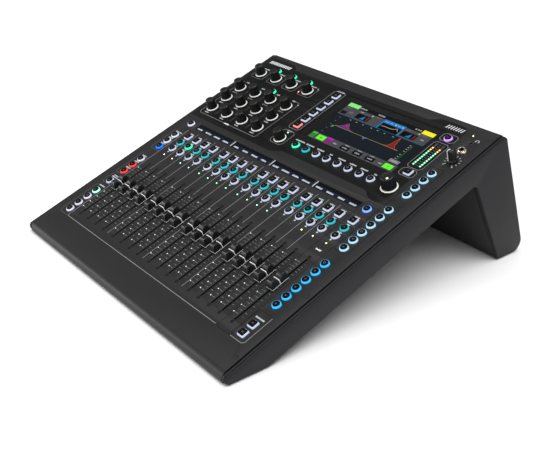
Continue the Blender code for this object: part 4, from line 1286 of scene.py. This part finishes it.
def xlr_flange(combo):
    """A socket's flange with its screws and latch, and the contacts inside it."""
    shape = Shape()
    plate = rounded([(-13, -13.4), (13, -13.4), (13, 13.4), (-13, 13.4)], 3.4, 6)
    hole = circle(len(plate))(9.3)
    start = max(range(len(plate)), key=lambda k: -abs(math.atan2(plate[k][1], plate[k][0])))
    plate = plate[start:] + plate[:start]
    levels = [
        (plate, 1, 0.02), (plate, 1, 1.0), (plate, 0.97, 1.3), (hole, 1.06, 1.3), (hole, 1, 1.0), (hole, 1, 0.02),
    ]
    tube(shape, [[(a * share, b * share, w) for a, b in outline] for outline, share, w in levels], SOCKET)
    for side in (-1, 1):
        head = [(1.7, 1.2), (1.9, 1.3), (1.7, 1.75), (1.0, 1.9)]
        shape.stack(10.2 * side, 10.4 * side, circle(18), head, DARK_STEEL)
    if combo:
        shape.dash(0, 11.4, 5.0, 2.6, STEEL, 1.2, 1.75)
    pins(shape, combo)
    return shape


def pins(shape, combo):
    if combo:
        sleeve = [(3.4, -9.5), (3.4, -1.4), (5.0, -1.4), (5.0, -9.5)]
        tube(shape, [ring_at(0, 0, circle(24)(radius), w) for radius, w in sleeve], SOCKET)
    reach = 6.7 if combo else 4.2
    pin = [(1.1, -9.5), (1.1, -2.2)] if combo else [(1.2, -9.5), (1.2, -1.6), (0.7, -1.0)]
    for turn in (90, 210, 330):
        a = math.radians(turn)
        shape.stack(reach * math.cos(a), reach * math.sin(a), circle(12), pin, GOLD)


def rear_hardware():
    for k, (x, w) in enumerate(SOCKET_PLACES):
        name = f"rear_socket_flange_{k + 1:02d}"
        piece(name, xlr_flange(k < 16), place=rear_place(x, w), angle=30)
    draw = random.Random(5)
    print_work = Shape()
    for x, w in SOCKET_PLACES:
        letters(print_work, -x, w + 17.4, 7, 1.9, INK, draw)
    for x, w, width in ((-161, -120, 16), (-126, -120, 12), (-32, -93, 12), (-3, -95, 9)):
        letters(print_work, -x, w, width, 1.9, INK, draw)
    middle = -90
    place = rear_place(0, middle) @ Matrix.Translation((0, -middle * MM, 0.02 * MM))
    piece("rear_printing", print_work, place=place)
    screws = Shape()
    for x in (-206, -69, 69, 206):
        for w in (-20, -162):
            screws.stack(-x, w, circle(24), [(2.6, -0.1), (2.8, 0.1), (2.6, 0.7), (1.8, 1.0)], DARK_STEEL)
            # painted shade: a near-black disc where the screw's recess would be
            screws.stack(-x, w, circle(6), [(1.2, 0.9), (1.1, 1.05)], RECESS_SHADE)
    piece("rear_screws", screws, place=place)
    inlet(place)


def inlet(place):
    """The mains inlet's rim and blades, the network socket's contacts and the USB tongue."""
    shape = Shape()
    for x_low, x_high, w_low, w_high in ((-176, -146, -150, -126), (-136, -116, -150, -126)):
        outer = rounded(corners_of(-x_high - 2.4, -x_low + 2.4, w_low - 2.4, w_high + 2.4), 2.4)
        inner = rounded(corners_of(-x_high + 0.9, -x_low - 0.9, w_low + 0.9, w_high - 0.9), 1.0)
        levels = (outer, 0.02), (outer, 1.0), (inner, 1.1), (inner, 0.02)
        tube(shape, [ring_at(0, 0, outline, w) for outline, w in levels], SOCKET)
    for x, w in ((161 - 6.5, -140), (161 + 6.5, -140), (161, -134.5)):
        shape.block((x - 0.9, w - 2.2, -11.0), (x + 0.9, w + 2.2, -1.0), STEEL)
    for k in range(8):
        shape.block((32 - 4.4 + 1.2 * k, -111.5, -10), (32 - 3.9 + 1.2 * k, -108.5, -2.4), GOLD)
    shape.block((-2.0, -107.2, -10), (8.0, -105.2, -1.2), WHITE_RING)
    piece("rear_inlet_parts", shape, place=place)


# ---- carried-over nodes, stage and camera ------------------------------------------------------------


def coat_nodes():
    coats = {
        "chassis_tray": SHEET_COAT, "rear_panel": SHEET_COAT, "rear_sockets": SOCKET, "power_supply": STEEL,
        "power_switch": KEY_CAP, "fader_board": BOARD, "main_board": BOARD, "front_foot": RUBBER,
        "rear_foot": RUBBER,
    }
    for name, material in coats.items():
        mesh = frame["nodes"][name].data
        mesh.materials.clear()
        mesh.materials.append(material)


def area_light(name, size, power, at, target, colour=(1, 1, 1)):
    data = bpy.data.lights.new(name, "AREA")
    data.shape = "RECTANGLE"
    data.size, data.size_y = size
    data.energy = power
    data.color = colour
    lamp = bpy.data.objects.new(name, data)
    bpy.context.scene.collection.objects.link(lamp)
    lamp.location = at
    lamp.rotation_euler = (Vector(target) - Vector(at)).to_track_quat("-Z", "Y").to_euler()


def studio():
    """A pale floor, a soft sky and large soft lights round the console."""
    mesh = bpy.data.meshes.new("floor")
    mesh.from_pydata([(-6, -6, 0), (6, -6, 0), (6, 6, 0), (-6, 6, 0)], [], [[0, 1, 2, 3]])
    mesh.materials.append(look("floor_paper", (0.84,) * 3, 0.9, grain=4, bump=0.02, vary=0.01, patch=400))
    floor = bpy.data.objects.new("floor", mesh)
    bpy.context.scene.collection.objects.link(floor)
    floor.location.z = -0.0003
    world = bpy.data.worlds.new("studio")
    bpy.context.scene.world = world
    world.use_nodes = True
    world.node_tree.nodes["Background"].inputs["Color"].default_value = (1, 1, 1, 1)
    world.node_tree.nodes["Background"].inputs["Strength"].default_value = 0.26
    bpy.context.scene.view_settings.view_transform = "Standard"
    sky = bpy.data.lights.new("overhead_light", "SUN")
    sky.energy, sky.angle = 3.4, math.radians(60)
    lamp = bpy.data.objects.new("overhead_light", sky)
    bpy.context.scene.collection.objects.link(lamp)
    lamp.rotation_euler = Vector((-0.22, 0.12, -1)).to_track_quat("-Z", "Y").to_euler()
    area_light("front_light", (1.6, 0.5), 7, (0.5, -1.7, 0.35), (0, -0.2, 0.05))
    area_light("nose_light", (1.2, 0.3), 16, (-1.25, -1.45, 0.34), (0, -0.25, 0.03))


CAMERA_AT = (0.7919, -0.6837, 0.5462)
CAMERA_TURN = (63.43, -1.75, 50.02)
CAMERA_LENS = 57.05


def camera():
    data = bpy.data.cameras.new("camera")
    data.lens, data.sensor_width = CAMERA_LENS, 36
    data.clip_start = 0.02
    view = bpy.data.objects.new("camera", data)
    bpy.context.scene.collection.objects.link(view)
    view.location = CAMERA_AT
    view.rotation_euler = [math.radians(a) for a in CAMERA_TURN]
    bpy.context.scene.camera = view


def build():
    control_panel()
    key_pieces()
    encoders()
    phones_knob()
    fader_caps()
    fader_scales()
    strip_dividers()
    group_frames()
    legends()
    phones_ticks()
    strip_leds()
    panel_screws()
    phones_sockets()
    name_display()
    level_meter()
    touchscreen()
    screen_picture()
    cheeks()
    chassis()
    rear_hardware()
    coat_nodes()
    studio()
    camera()


build()
bpy.context.view_layer.update()
